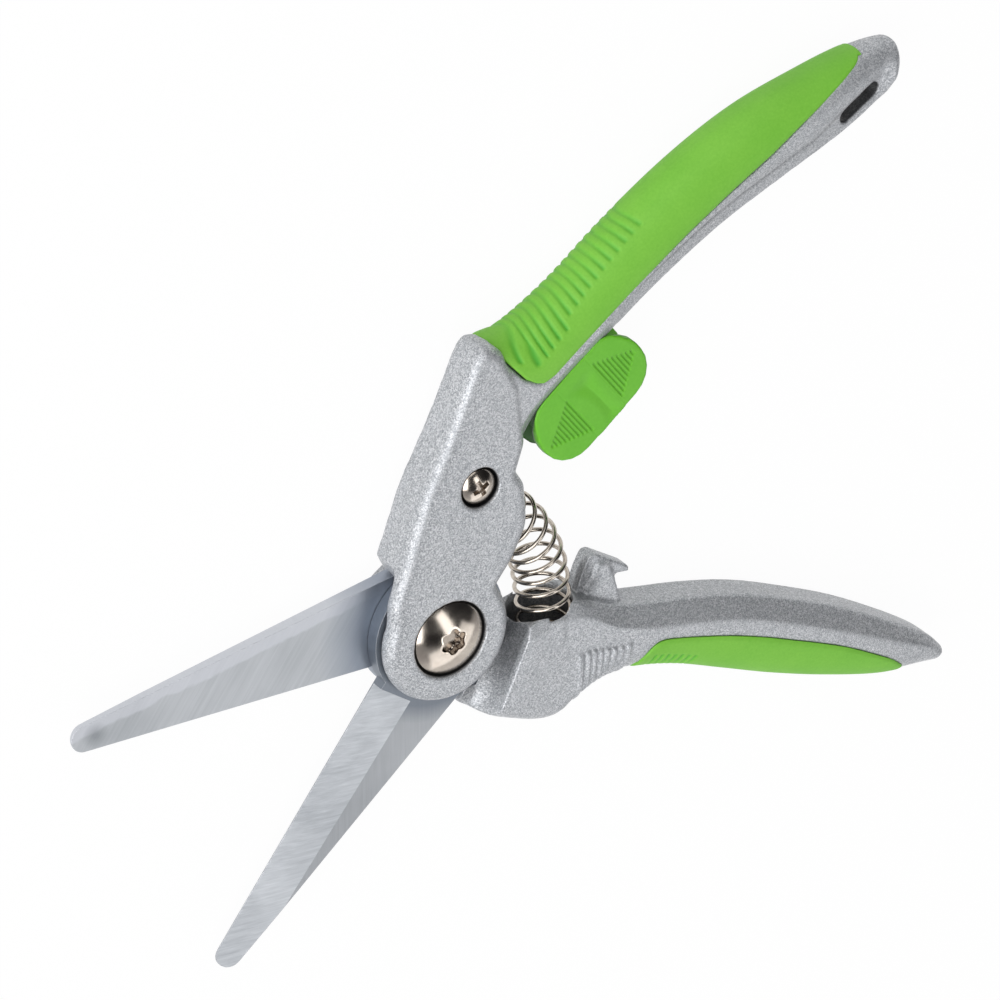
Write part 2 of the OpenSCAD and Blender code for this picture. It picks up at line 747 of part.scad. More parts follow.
cross_l = 3.2;
cross_w = 0.9;
cross_h = 1.1;
module blade_screw(screw) {
    difference() {
        translate(screw) {
            translate([0, 0, screw_floor])
                rotate_extrude()
                polygon(dome(screw_head_d / 2, rim_h, screw_head_h));
            post(screw_d / 2 - face_play, -half_t + bolt_sink + face_play, screw_floor);
        }
        for (turn = [0, 90])
            translate([screw[0], screw[1], screw_floor + screw_head_h])
            rotate(turn)
            cube([cross_l, cross_w, 2 * cross_h], center = true);
    }
}
module upper_blade_screw() {
    color(plated) placed() blade_screw(upper_screw);
}
module lower_blade_screw() {
    color(plated) placed() rear_side() blade_screw(over(lower_screw));
}

// Return spring: one wire wound round a curved axis between the two pockets

seat_gap = 0.2 + wire_d / 2;
spring_from = lower_mouth - (lower_pocket - seat_gap) * lower_out;
spring_to = upper_mouth - (upper_pocket - seat_gap) * upper_out;
bow = 14;
rings_per_turn = 10;
wire_sides = 6;
closed_pitch = 1.55;
function bezier(a, b, c, d, t) =
    pow(1 - t, 3) * a + 3 * t * pow(1 - t, 2) * b + 3 * t * t * (1 - t) * c + t * t * t * d;
function axis_at(t) =
    bezier(spring_from, spring_from + bow * lower_out, spring_to + bow * upper_out, spring_to, t);
axis_l = norm(spring_to - spring_from) * 1.03;
// The first and the last turn lie close together
end_share = closed_pitch / axis_l;
function climb(turn) =
    turn < 1 ? turn * end_share
    : turn > coil_turns - 1 ? 1 - (coil_turns - turn) * end_share
    : end_share + (turn - 1) * (1 - 2 * end_share) / (coil_turns - 2);
function wire_at(turn) =
    let (
        t = climb(turn),
        p = axis_at(t),
        way = unit(axis_at(min(1, t + 0.01)) - axis_at(max(0, t - 0.01))),
        a = 360 * turn
    )
    [p[0] - coil_r * cos(a) * way[1], p[1] + coil_r * cos(a) * way[0], coil_r * sin(a)];
wound = [for (i = [0 : coil_turns * rings_per_turn]) wire_at(i / rings_per_turn)];
wound_n = len(wound);
// Both ends run on straight for one wire diameter
wire_path = concat(
    [wound[0] - wire_d * unit(wound[1] - wound[0])],
    wound,
    [wound[wound_n - 1] + wire_d * unit(wound[wound_n - 1] - wound[wound_n - 2])]
);
path_n = len(wire_path);
function wire_ring(i) =
    let (
        way = unit(wire_path[min(i + 1, path_n - 1)] - wire_path[max(i - 1, 0)]),
        mid = axis_at(climb(max(0, min(coil_turns, (i - 1) / rings_per_turn)))),
        out = unit(wire_path[i] - [mid[0], mid[1], 0]),
        side = unit(cross(way, out)),
        up = cross(side, way)
    )
    [
        for (k = [0 : wire_sides - 1])
            let (a = -360 * k / wire_sides)
            wire_path[i] + wire_d / 2 * (cos(a) * up + sin(a) * side)
    ];
least_gap = min([
    for (i = [0 : wound_n - 1], j = [i + rings_per_turn / 2 : wound_n - 1]) norm(wound[i] - wound[j])
]) - wire_d;
module return_spring() {
    echo(least_gap_between_turns = least_gap);
    rings = [for (i = [0 : path_n - 1]) wire_ring(i)];
    color(plated) placed() fanned_skin(rings, wire_path[0], wire_path[path_n - 1]);
}

// Lock slider

slider_round = 0.5;
saddle_r = 9;
saddle_h = 0.8;
slider_outline = rounded([
    [-slider_l / 2, -slider_w / 2, slider_w / 2 - 0.8],
    [slider_l / 2, -slider_w / 2, slider_w / 2 - 0.8],
    [slider_l / 2, slider_top, slider_w / 2 - 1],
    [-slider_l / 2, slider_top, slider_w / 2 - 1]
]);
module lock_slider() {
    left = -slider_l / 2 - 1;
    slot_z = [0, 0, -hook_room];
    color(green) placed() slider_frame() difference() {
        union() {
            rounded_slab(slider_outline, [0, 0], -slider_t / 2, slider_t / 2, slider_round, true);
            translate([-neck_half, slider_top - 1, -neck_t / 2])
                cube([2 * neck_half, flange_high - slider_top + 1, neck_t]);
            translate([-neck_half, flange_low, -flange_t / 2])
                cube([2 * neck_half, flange_high - flange_low, flange_t]);
        }
        for (face = [-1, 1])
            translate([0, 0, face * (slider_t / 2 + saddle_r - saddle_h)])
            rotate([90, 0, 0])
            cylinder(r = saddle_r, h = far, center = true);
        translate(slot_z + [left, -slider_w, 0])
            cube([lip_left - left, slider_w + hook_top, 2 * hook_room]);
        translate(slot_z + [lip_left - 1, -slider_w / 2 + lip_t, 0])
            cube([slider_travel + barb_room + 1, slider_w / 2 - lip_t + hook_top, 2 * hook_room]);
    }
}

upper_handle();
upper_grip();
upper_blade();
upper_blade_screw();
pivot_bolt();
pivot_nut();
nut_insert();
pivot_washer();
lower_handle();
lower_grip();
lower_blade();
lower_blade_screw();
return_spring();
lock_slider();
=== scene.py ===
# %% [markdown]
# # Garden snips in Blender
# The shears were drawn as solids first, and that imported model is the frame of this lesson. Every piece is
# made in the same place and at the same size, in metres. We load the frame and dress it piece by piece.

# %% Load the frame
import math

import bmesh
import bpy
import numpy as np
from mathutils import Matrix, Vector


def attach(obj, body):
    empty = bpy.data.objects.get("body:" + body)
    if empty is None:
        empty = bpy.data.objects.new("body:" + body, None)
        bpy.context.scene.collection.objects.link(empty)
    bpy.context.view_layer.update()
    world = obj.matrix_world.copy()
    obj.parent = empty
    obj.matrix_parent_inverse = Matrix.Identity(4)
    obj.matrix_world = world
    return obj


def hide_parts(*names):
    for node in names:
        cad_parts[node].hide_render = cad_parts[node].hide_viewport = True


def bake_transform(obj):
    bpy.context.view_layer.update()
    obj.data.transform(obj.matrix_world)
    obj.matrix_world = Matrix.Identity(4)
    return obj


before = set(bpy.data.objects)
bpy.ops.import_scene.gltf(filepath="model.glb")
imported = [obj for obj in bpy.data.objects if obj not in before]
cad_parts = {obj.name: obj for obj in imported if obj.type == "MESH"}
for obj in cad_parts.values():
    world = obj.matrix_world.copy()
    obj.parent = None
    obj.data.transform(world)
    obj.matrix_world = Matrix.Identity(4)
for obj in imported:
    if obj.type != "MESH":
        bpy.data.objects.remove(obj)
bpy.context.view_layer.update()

MM = 0.001

# %% [markdown]
# ## Camera
# The photograph looks down on the shears through a long lens, with the camera rolled so that the blades
# point to the lower left. A camera is just a matrix: its columns point right in the picture, up, and back
# towards the photographer.

# %% Camera
EYE = Vector((-0.1404, 0.4853, 0.5450))
PICTURE_RIGHT = Vector((0.7554, -0.3626, 0.5458)).normalized()
PICTURE_UP = Vector((0.6170, 0.6739, -0.4064)).normalized()
# The lens in millimetres, on a sensor as wide as a film frame
FOCAL_LENGTH = 153.0
SENSOR_WIDTH = 36.0
picture_back = PICTURE_RIGHT.cross(PICTURE_UP).normalized()

scene = bpy.context.scene


def linked(name, data):
    """A new object in the scene."""
    made = bpy.data.objects.new(name, data)
    scene.collection.objects.link(made)
    return made


lens = bpy.data.cameras.new("camera")
lens.lens = FOCAL_LENGTH
lens.sensor_width = SENSOR_WIDTH
lens.sensor_fit = "HORIZONTAL"
camera = linked("camera", lens)
turn = Matrix((PICTURE_RIGHT, PICTURE_UP, picture_back)).transposed()
camera.matrix_world = Matrix.Translation(EYE) @ turn.to_4x4()
scene.camera = camera
print("camera looks along", [round(v, 3) for v in -picture_back])

# %% [markdown]
# ## Helpers for every finish
# Colours are picked as sRGB hex values, as a paint chart gives them, and shaders work in linear light, so
# one function converts them. A second function adds one shader node, sets its options and joins its inputs.

# %% Colour and node helpers
def colour(hex_code):
    """An sRGB hex value as linear RGBA."""
    parts = [int(hex_code[i:i + 2], 16) / 255 for i in (1, 3, 5)]
    return [c / 12.92 if c <= 0.04045 else ((c + 0.055) / 1.055) ** 2.4 for c in parts] + [1.0]


def node(owner, kind, inputs=None, stops=(), **options):
    """One shader node. Inputs are plain values, or sockets to join; stops (position, hex) fill a ramp."""
    made = owner.node_tree.nodes.new("ShaderNode" + kind)
    for name, value in options.items():
        setattr(made, name, value)
    for i, (position, hex_code) in enumerate(stops):
        element = made.color_ramp.elements[i] if i < 2 else made.color_ramp.elements.new(position)
        element.position = position
        element.color = colour(hex_code)
    for name, value in (inputs or {}).items():
        if isinstance(value, bpy.types.NodeSocket):
            owner.node_tree.links.new(value, made.inputs[name])
        else:
            made.inputs[name].default_value = value
    return made


print("white is", colour("#FFFFFF")[:3])

# %% [markdown]
# Every finish is put together from the same few parts: the shader, noise of a real size, a ramp of colours,
# a tint, and values that the points of a piece carry.

# %% Parts of a finish
# Noise seldom leaves this range, so colours and gloss are spread over it
NOISE_LOW, NOISE_HIGH = 0.3, 0.7


def finish(name, **plain):
    """A material, its principled shader with plain values, and the place in the piece's own frame."""
    material = bpy.data.materials.new(name)
    material.use_nodes = True
    shader = material.node_tree.nodes["Principled BSDF"]
    for key, value in plain.items():
        shader.inputs[key].default_value = value
    place = node(material, "TexCoord").outputs["Object"]
    return material, shader, place


def feed(owner, socket, shader, name):
    """Join a socket to one of the shader's inputs."""
    owner.node_tree.links.new(socket, shader.inputs[name])


def per_mm(size):
    """A texture scale, in cells per metre, for cells of this size in millimetres."""
    return 1 / (size * MM)


def noise(owner, place, size, detail, roughness=0.5):
    """Cloudy noise with cells of this size in millimetres."""
    inputs = {"Vector": place, "Scale": per_mm(size), "Detail": detail, "Roughness": roughness}
    return node(owner, "TexNoise", inputs).outputs["Fac"]


def calculated(owner, operation, *values):
    """The result of a calculation with values or sockets."""
    return node(owner, "Math", dict(enumerate(values)), operation=operation).outputs["Value"]


def ramp(owner, value, *stops):
    """A colour picked by a value from stops (position, hex)."""
    return node(owner, "ValToRGB", {"Fac": value}, stops=stops).outputs["Color"]


def tinted(owner, share, under, hex_code):
    """A colour that goes over to a hex value by a share from 0 to 1."""
    return node(owner, "Mix", {0: share, 6: under, 7: colour(hex_code)}, data_type="RGBA").outputs[2]


def carried(owner, name):
    """A value that the points of a piece carry under this name."""
    return node(owner, "Attribute", attribute_name=name).outputs["Fac"]


print("a cell of 0.5 mm has the scale", per_mm(0.5))

# %% [markdown]
# ## Silver flake paint
# The handles are cast aluminium, sprayed with silver paint that holds tiny aluminium flakes. Each flake
# lies at its own angle, so the surface looks grainy rather than mirror-like. Voronoi cells stand for the
# flakes: each gets its own grey and its own small tilt of the normal. Real flakes are about 0.05 mm; they
# are drawn at 0.17 mm so that they show. Shade is painted into deep sockets, creases and nooks: the paint
# fades to almost black by a value for painted shade that each casting carries at its points.

# %% Silver flake paint
# A flake and a cloud of the spray in millimetres, their shares of the grey, and the flakes' tilt
FLAKE, CLOUD = 0.17, 0.7
FLAKE_SHARE, CLOUD_SHARE = 0.75, 0.25
FLAKE_TILT = 0.26
silver_paint, shader, place = finish("silver_flake_paint_on_cast_aluminium", Metallic=0.35, Roughness=0.38)
# Grey grains that sparkle one by one, over a partly metallic body: a matt silver with a soft highlight
flakes = node(silver_paint, "TexVoronoi", {"Vector": place, "Scale": per_mm(FLAKE)}).outputs["Color"]
grey = node(silver_paint, "SeparateColor", {"Color": flakes}).outputs["Red"]
cloud = calculated(silver_paint, "MULTIPLY", noise(silver_paint, place, CLOUD, 2.0), CLOUD_SHARE)
level = calculated(silver_paint, "MULTIPLY_ADD", grey, FLAKE_SHARE, cloud)
shade = ramp(silver_paint, level, (0.15, "#888B8F"), (0.5, "#A9ACB0"), (0.85, "#D3D4D7"))
# Painted shade: by the value its points carry, a casting's paint goes over to near black
coat = tinted(silver_paint, carried(silver_paint, "painted_shade"), shade, "#161617")
feed(silver_paint, coat, shader, "Base Color")
lean = node(silver_paint, "VectorMath", {0: flakes, 1: (0.5, 0.5, 0.5)}, operation="SUBTRACT")
tilt = node(silver_paint, "VectorMath", {0: lean.outputs["Vector"], "Scale": FLAKE_TILT}, operation="SCALE")
facing = node(silver_paint, "NewGeometry").outputs["Normal"]
tilted = node(silver_paint, "VectorMath", {0: tilt.outputs["Vector"], 1: facing}, operation="ADD")
evened = node(silver_paint, "VectorMath", {0: tilted.outputs["Vector"]}, operation="NORMALIZE")
feed(silver_paint, evened.outputs["Vector"], shader, "Normal")
print("made", silver_paint.name)

# %% [markdown]
# ## Green soft rubber and green plastic
# The inlays are thermoplastic rubber, moulded over the casting: matt, even in colour, with a very fine
# grain. The thumb slider is hard moulded plastic in nearly the same green, a little deeper and smoother.
# Little light comes back out of a narrow groove, so points in a groove carry a value for painted shade
# that deepens the green.

# %% Green rubber and green plastic
DRIFT = 9.0


def averaged(owner, first, second):
    return calculated(owner, "MULTIPLY", calculated(owner, "ADD", first, second), 0.5)


def moulded(name, hollow, dark, light, grain, roughness, depth):
    """Hollow is the painted shade colour in a groove; grain and depth are the size of the specks."""
    material, shader, place = finish(name, Roughness=roughness, IOR=1.5)
    speck = noise(material, place, grain, 2.0)
    level = averaged(material, noise(material, place, DRIFT, 3.0, 0.6), speck)
    shade = ramp(material, level, (NOISE_LOW, dark), (NOISE_HIGH, light))
    feed(material, tinted(material, carried(material, "groove"), shade, hollow), shader, "Base Color")
    bump = node(material, "Bump", {"Height": speck, "Strength": 0.3, "Distance": depth * MM})
    feed(material, bump.outputs["Normal"], shader, "Normal")
    return material


# Soft and nearly matt: the green pales a little where it turns away, with no sharp highlight
# The first green is painted shade: in the grooves, and on the slider also in the shut-in waist
grip_rubber = moulded("moulded_thermoplastic_rubber", "#45A22A", "#69B02E", "#79BC3B",
                      grain=0.45, roughness=0.6, depth=0.03)
# Harder and slightly glossier: a fuller green with a faint sheen on its edges
slider_plastic = moulded("moulded_green_polypropylene", "#14401A", "#5EAF1E", "#69B829",
                         grain=0.6, roughness=0.5, depth=0.015)
print("made", grip_rubber.name, "and", slider_plastic.name)

# %% [markdown]
# ## Ground stainless steel
# The blades are hardened stainless strip, ground on a wheel that leaves fine parallel lines. Noise that is
# stretched a long way in one direction draws such lines: it changes quickly across the grinding and slowly
# along it. Its cells are half a millimetre wide so that the lines show. The bevel is ground on a second
# wheel, across the blade; its lighter colour partly paints in the light it catches. Round stains, and
# patches of painted shade and reflection, are placed by the distance from a centre.

# %% Ground stainless steel
LINE = 0.5
BLOTCH = 11.0
# How quickly the noise changes along the lines, across them and upwards
STRETCH = (0.03, 1.0, 0.5)
LINE_DEEP = 0.02


def ground_steel(name, turn, dark, light, roughness, strength):
    """Turn is the direction of the grinding lines in the plan, in degrees."""
    material, shader, place = finish(name, Metallic=1.0, Roughness=roughness)
    along = node(material, "Mapping", {"Vector": place, "Rotation": (0, 0, math.radians(-turn))})
    squeeze = node(material, "VectorMath", {0: along.outputs["Vector"], 1: STRETCH}, operation="MULTIPLY")
    lines = noise(material, squeeze.outputs["Vector"], LINE, 4.0, 0.65)
    level = averaged(material, lines, noise(material, place, BLOTCH, 2.0))
    shade = ramp(material, level, (NOISE_LOW, dark), (NOISE_HIGH, light))
    feed(material, shade, shader, "Base Color")
    bump = node(material, "Bump", {"Height": lines, "Strength": strength, "Distance": LINE_DEEP * MM})
    feed(material, bump.outputs["Normal"], shader, "Normal")
    return material, shader, place, shade


def ranged(owner, value, start, end, low, high):
    """A value that goes from low to high while another goes from start to end."""
    limits = {"From Min": start, "From Max": end, "To Min": low, "To Max": high}
    return node(owner, "MapRange", {"Value": value, **limits}).outputs["Result"]


def round_stain_and_shade(owner, place, centre, near, far, share, under, hex_code):
    """A colour with a round darker patch, strongest up to one distance from its centre and gone at another;
    it draws a real stain and also painted shade.
    """
    middle = tuple(v * MM for v in centre)
    away = node(owner, "VectorMath", {0: place, 1: middle}, operation="DISTANCE").outputs["Value"]
    return tinted(owner, ranged(owner, away, near * MM, far * MM, share, 0.0), under, hex_code)


# Satin grey with hardly visible lines along the strip, and a painted reflection of the dark joint beside the
# pivot
flat_steel, shader, place, shade = ground_steel("strip_ground_stainless_steel", 64.5, "#A6A9AD", "#BABDC1",
                                                roughness=0.52, strength=0.2)
jointed = round_stain_and_shade(flat_steel, place, (0, 0, 8), 14.5, 18, 0.7, shade, "#6E7783")
feed(flat_steel, jointed, shader, "Base Color")
# Satin with fine lines straight across the blade and cloudy stains; its brighter colour is partly painted
# light
bevel_steel = ground_steel("cross_ground_stainless_steel", -25.5, "#B6BABF", "#E2E5E9",
                           roughness=0.62, strength=0.35)[0]
# The rear blade's open face: slanting lines in satin grey, on which the next step draws the marks
face_steel, shader, place, shade = ground_steel("face_ground_stainless_steel", 28.0, "#B2B6BA", "#CACDD1",
                                                roughness=0.5, strength=0.3)
print("made", flat_steel.name, bevel_steel.name, face_steel.name)

# %% [markdown]
# The rear blade lies open to the eye, so it also shows its wear. A paler band runs along its back, with an
# edge that wanders; a dot product measures the way from the pivot towards the straight back. A thumb mark
# darkens the blade near the tip, and near the pivot a painted reflection of the dark casting darkens it.

# %% Marks on the rear blade
BACK_WAY = (0.2846, 0.9586, 0.0)
# The band fades in between these distances, and noise moves its edge
BAND_FROM, BAND_FULL = 11.9 * MM, 12.4 * MM
BAND_WANDER, WANDER_CELL = 2.5 * MM, 5.0
THUMB_MARK = (-59.6, 28.4, 6.5)
inward = node(face_steel, "VectorMath", {0: place, 1: BACK_WAY}, operation="DOT_PRODUCT").outputs["Value"]
wander = noise(face_steel, place, WANDER_CELL, 3.0)
wavy = calculated(face_steel, "MULTIPLY_ADD", wander, BAND_WANDER, inward)
banded = tinted(face_steel, ranged(face_steel, wavy, BAND_FROM, BAND_FULL, 0.0, 0.5), shade, "#DDDFE6")
thumbed = round_stain_and_shade(face_steel, place, THUMB_MARK, 0.4, 2.6, 0.55, banded, "#80858A")
# Painted reflection of the dark casting, near the pivot
rooted = round_stain_and_shade(face_steel, place, (0, 0, 6.5), 15.5, 23, 0.75, thumbed, "#8992A0")
feed(face_steel, rooted, shader, "Base Color")
print(face_steel.name, "has", len(face_steel.node_tree.nodes), "shader nodes")

# %% [markdown]
# ## Plated steel, spring wire and nylon
# The bolt and the screws are steel with bright nickel plating, which is slightly warm. The spring is drawn
# wire, a little darker. The ring in the lock nut is off-white nylon. Faint smears in the roughness keep the
# plating from being a perfect mirror.

# %% Plated steel, spring wire and nylon
def smeared(name, dark, light, cell, gloss, metallic):
    """Cell is the size of the smears; gloss is the lowest and the highest roughness."""
    material, shader, place = finish(name, Metallic=metallic)
    smear = noise(material, place, cell, 4.0, 0.6)
    shade = ramp(material, smear, (NOISE_LOW, dark), (NOISE_HIGH, light))
    # Painted shade: a recess goes over to dark brown by the value its points carry
    feed(material, tinted(material, carried(material, "recess_shade"), shade, "#3C332B"), shader, "Base Color")
    feed(material, ranged(material, smear, NOISE_LOW, NOISE_HIGH, *gloss), shader, "Roughness")
    return material


# A warm mirror that shows lamps and walls as clear patches
nickel = smeared("bright_nickel_plating", "#D2C6BA", "#E2D8CC", 2.0, (0.13, 0.20), 1.0)
# A darker mirror: each turn has one light side and one dark side
spring_wire = smeared("drawn_spring_wire", "#ADA49A", "#CFC7BC", 1.2, (0.14, 0.22), 1.0)
# Waxy off-white
nylon = smeared("off_white_nylon", "#DAD8CC", "#E8E6DC", 1.5, (0.40, 0.55), 0.0)
print("made", nickel.name, spring_wire.name, nylon.name)

# %% [markdown]
# ## Softened copies of the castings
# A cast and painted handle has no knife-sharp corner, but the solids do, and they are cut into flat facets.
# A fine voxel remesh turns each solid into an even skin of small squares. Smoothing then moves every point
# towards its neighbours, again and again, which takes out the facets and rounds the edges by a fraction of
# a millimetre. Round the finger ribs and other fine details it is held back, so that they stay crisp.

# %% Copy a solid
WELD = 1e-6


def read_points(mesh):
    """A mesh's points in millimetres."""
    points = np.empty(len(mesh.vertices) * 3)
    mesh.vertices.foreach_get("co", points)
    return points.reshape(-1, 3) / MM


def shade_smooth(mesh):
    mesh.polygons.foreach_set("use_smooth", np.ones(len(mesh.polygons), bool))


def write_points(mesh, points):
    """Move a mesh's points to these places in millimetres, and shade it smoothly."""
    mesh.vertices.foreach_set("co", (points * MM).ravel())
    shade_smooth(mesh)
    mesh.update()


def copied(node_name, piece_name):
    """A copy of a node's solid, and the copy's mesh opened for changes, with doubled points welded."""
    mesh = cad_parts[node_name].data.copy()
    piece = linked(piece_name, mesh)
    opened = bmesh.new()
    opened.from_mesh(mesh)
    bmesh.ops.remove_doubles(opened, verts=opened.verts, dist=WELD)
    return piece, opened


def applied(piece):
    """The mesh as the piece's modifier leaves it, put in place of the old one."""
    old = piece.data
    view = bpy.context.evaluated_depsgraph_get()
    skin = bpy.data.meshes.new_from_object(piece.evaluated_get(view))
    piece.modifiers.clear()
    piece.data = skin
    bpy.data.meshes.remove(old)
    return skin


def dress(piece, body, slot, replaced, *materials):
    """Give a piece its body, the node it stands for and its finish; the slot is not used."""
    piece.data.materials.clear()
    for material in materials:
        piece.data.materials.append(material)
    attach(piece, body)
    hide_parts(replaced)
    print(piece.name, "has", len(piece.data.polygons), "faces")


print("solids to copy:", sorted(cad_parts))

# %% Remesh and smooth
# Width of the fade round a crisp place, in millimetres
HOLD_FADE = 2.0


def relaxed(mesh, points, passes, held):
    """Points after smoothing; each pass moves a point half of the way to the mean of its neighbours."""
    edges = np.empty(len(mesh.edges) * 2, np.int32)
    mesh.edges.foreach_get("vertices", edges)
    edges = edges.reshape(-1, 2)
    count = len(points)
    ends = np.concatenate([edges[:, 0], edges[:, 1]])
    others = np.concatenate([edges[:, 1], edges[:, 0]])
    share = 1 / np.maximum(np.bincount(ends, minlength=count), 1)
    free = (1 - held)[:, None]
    for _ in range(passes):
        mean = [np.bincount(ends, points[others, k], count) * share for k in range(3)]
        points = points + 0.5 * free * (np.stack(mean, 1) - points)
    return points


def skinned(node_name, piece_name, voxel, passes, crisp=(), added=((), ())):
    """A smooth copy of a node's solid, of even squares. Crisp places are (x, y, radius, share held back).
    Added is a closed form, as points in millimetres and faces, that is melted into the solid."""
    piece, opened = copied(node_name, piece_name)
    corners = [opened.verts.new(Vector(point) * MM) for point in added[0]]
    extra = [opened.faces.new([corners[i] for i in face]) for face in added[1]]
    bmesh.ops.recalc_face_normals(opened, faces=extra)
    opened.to_mesh(piece.data)
    opened.free()
    voxels = piece.modifiers.new("voxels", "REMESH")
    voxels.mode = "VOXEL"
    voxels.voxel_size = voxel * MM
    skin = applied(piece)
    points = read_points(skin)
    held = np.zeros(len(points))
    for x, y, radius, share in crisp:
        away = np.hypot(points[:, 0] - x, points[:, 1] - y)
        held = np.maximum(held, share * np.clip((radius + HOLD_FADE - away) / HOLD_FADE, 0, 1))
    write_points(skin, relaxed(skin, points, passes, held))
    return piece


# Held back: the notch beside the slider's end and the shoulder where the rubber starts
UPPER_CRISP = ((26, 18, 4, 0.5), (31, 34, 7, 0.5))
upper_casting = skinned("upper_handle", "upper_casting", voxel=0.25, passes=20, crisp=UPPER_CRISP)
print(upper_casting.name, "has", len(upper_casting.data.vertices), "points")

# %% [markdown]
# The long front edge of the head has the widest rounding on the tool. So the smoothing goes on along a line
# that follows this edge, and only on the front.

# %% Round the head's front edge
HEAD_EDGE = np.array([[29.8, 45.5], [24.2, 41.4], [14.7, 33.4], [6.2, 27.7], [0.4, 21.5], [-3.4, 16.1],
                      [-6.8, 12.4]])
EDGE_PLACES = 90
EDGE_PASSES = 90
# Reach on both sides of the line and its fade; height where the front starts and its fade
EDGE_REACH, REACH_FADE = 4.5, 2.0
FRONT_FROM, FRONT_FADE = 8.5, 1.5

spread = np.linspace(0, len(HEAD_EDGE) - 1, EDGE_PLACES)
line = np.stack([np.interp(spread, range(len(HEAD_EDGE)), HEAD_EDGE[:, k]) for k in (0, 1)], 1)
points = read_points(upper_casting.data)
near = np.min([np.hypot(*(points[:, :2] - spot).T) for spot in line], axis=0)
front = np.clip((points[:, 2] - FRONT_FROM) / FRONT_FADE, 0, 1)
free = front * np.clip((EDGE_REACH - near) / REACH_FADE, 0, 1)
write_points(upper_casting.data, relaxed(upper_casting.data, points, EDGE_PASSES, 1 - free))
print("smoothed", int((free > 0).sum()), "points further along the head's edge")

# %% [markdown]
# In places the front wall of the lower spring pocket is thinner than a voxel. So a curved plate, a piece of
# a pipe that lines the front of the pocket, is melted into the solid before the remesh. It is made of rings
# of points; one function joins rings by squares and closes the ends.

# %% Lower casting
def turned(degrees):
    """A direction in the plan."""
    return np.array([math.cos(math.radians(degrees)), math.sin(math.radians(degrees))])


def wrapped(rows, ring):
    """Faces of a closed tube: squares between neighbouring rings of points and a cap at each end."""
    faces = [(i * ring + j, i * ring + (j + 1) % ring, (i + 1) * ring + (j + 1) % ring, (i + 1) * ring + j)
             for i in range(rows - 1) for j in range(ring)]
    return faces + [tuple(range(ring)), tuple(range((rows - 1) * ring, rows * ring))]


# Height of the plane in which the blades meet
MATING_Z = 6.5
# The pocket: its mouth, its way out, and how far it is widened towards the pivot
LOWER_MOUTH, LOWER_OUT = np.array([19.3, -13.2]), turned(70)
PIVOT_SIDE = turned(160)
POCKET_LONG = 1.3
# The plate: its inner and outer radius, and its ends before the mouth
PLATE_INNER, PLATE_OUTER = 5.4, 6.15
PLATE_FROM, PLATE_TO = -5.0, -0.15
# Held back: the finger ribs, the pocket and the hook
LOWER_CRISP = ((21.5, -29, 10, 0.9), (18, -12.5, 8, 0.8), (31, -15, 7, 0.5))

arc = np.radians(np.linspace(45, 135, 13))
across = np.concatenate([np.cos(arc) * PLATE_INNER, np.cos(arc[::-1]) * PLATE_OUTER]) + POCKET_LONG / 2
above = np.concatenate([np.sin(arc) * PLATE_INNER, np.sin(arc[::-1]) * PLATE_OUTER])
plate = [(*(LOWER_MOUTH + run * LOWER_OUT + side * PIVOT_SIDE), MATING_Z + rise)
         for run in (PLATE_FROM, PLATE_TO) for side, rise in zip(across, above)]
lower_casting = skinned("lower_handle", "lower_casting", voxel=0.23, passes=22, crisp=LOWER_CRISP,
                        added=(plate, wrapped(2, len(across))))
print(lower_casting.name, "has", len(lower_casting.data.vertices), "points")

# %% [markdown]
# Points inside a socket get a value for painted shade, with a short fade at the rim: the counterbores of
# bolt and screws, the pockets of the spring and the slot for hanging the tool up. Two places on the lower
# casting get a weaker value of painted shade with a wide fade: the cove beside the pivot and the foot of
# the hook.

# %% Painted shade in the sockets
UPPER_MOUTH, UPPER_OUT = np.array([22.2, 7.2]), turned(-68)
UPPER_SCREW, LOWER_SCREW = (17.7, 22.5), (6.5, -21)
FRONT, BACK = np.array([0, 0, 1]), np.array([0, 0, -1])
FRONT_Z = 13
BOLT_ROOM, NUT_ROOM, SCREW_ROOM, POCKET_R = 7.3, 6.3, 3.8, 5.5
ROOM_DEEP = 9
RIM_FADE = 0.2
# A socket's value reaches past wall and floor, and starts below the mouth
PAST_WALL, PAST_FLOOR, FLOOR_FADE = 0.25, 0.4, 0.2
BELOW_MOUTH, MOUTH_FADE = 0.2, 0.6


def mark(piece, name, values):
    """Give each point of a piece a value that a material can read."""
    value = piece.data.attributes.new(name, "FLOAT", "POINT")
    value.data.foreach_set("value", values)


def shade_sockets(piece, *sockets):
    """Mark painted shade on the points in sockets (one end of the mouth, other end, way out, radius, depth,
    value, fade).
    """
    points = read_points(piece.data)
    most = np.zeros(len(points))
    for first, last, out, radius, deep, full, fade in sockets:
        offset = points - first
        depth = -offset @ out
        flat = offset + depth[:, None] * out
        side = last - first
        length = max(side @ side, 1e-9)
        share = np.clip(flat @ side / length, 0, 1)
        away = np.linalg.norm(flat - share[:, None] * side, axis=1)
        inside = np.clip((radius + PAST_WALL - away) / fade, 0, 1)
        inside *= np.clip((depth - BELOW_MOUTH) / MOUTH_FADE, 0, 1)
        inside *= np.clip((deep + PAST_FLOOR - depth) / FLOOR_FADE, 0, 1)
        most = np.maximum(most, full * inside)
    mark(piece, "painted_shade", most)
    print(piece.name, "has", int((most > 0.5).sum()), "shaded points")


def at(x, y, z):
    return np.array([x, y, z], float)


def drilled(x, y, z, out, radius):
    """A round counterbore from the front or the back, in painted shade all through."""
    return at(x, y, z), at(x, y, z), out, radius, ROOM_DEEP, 1.0, RIM_FADE


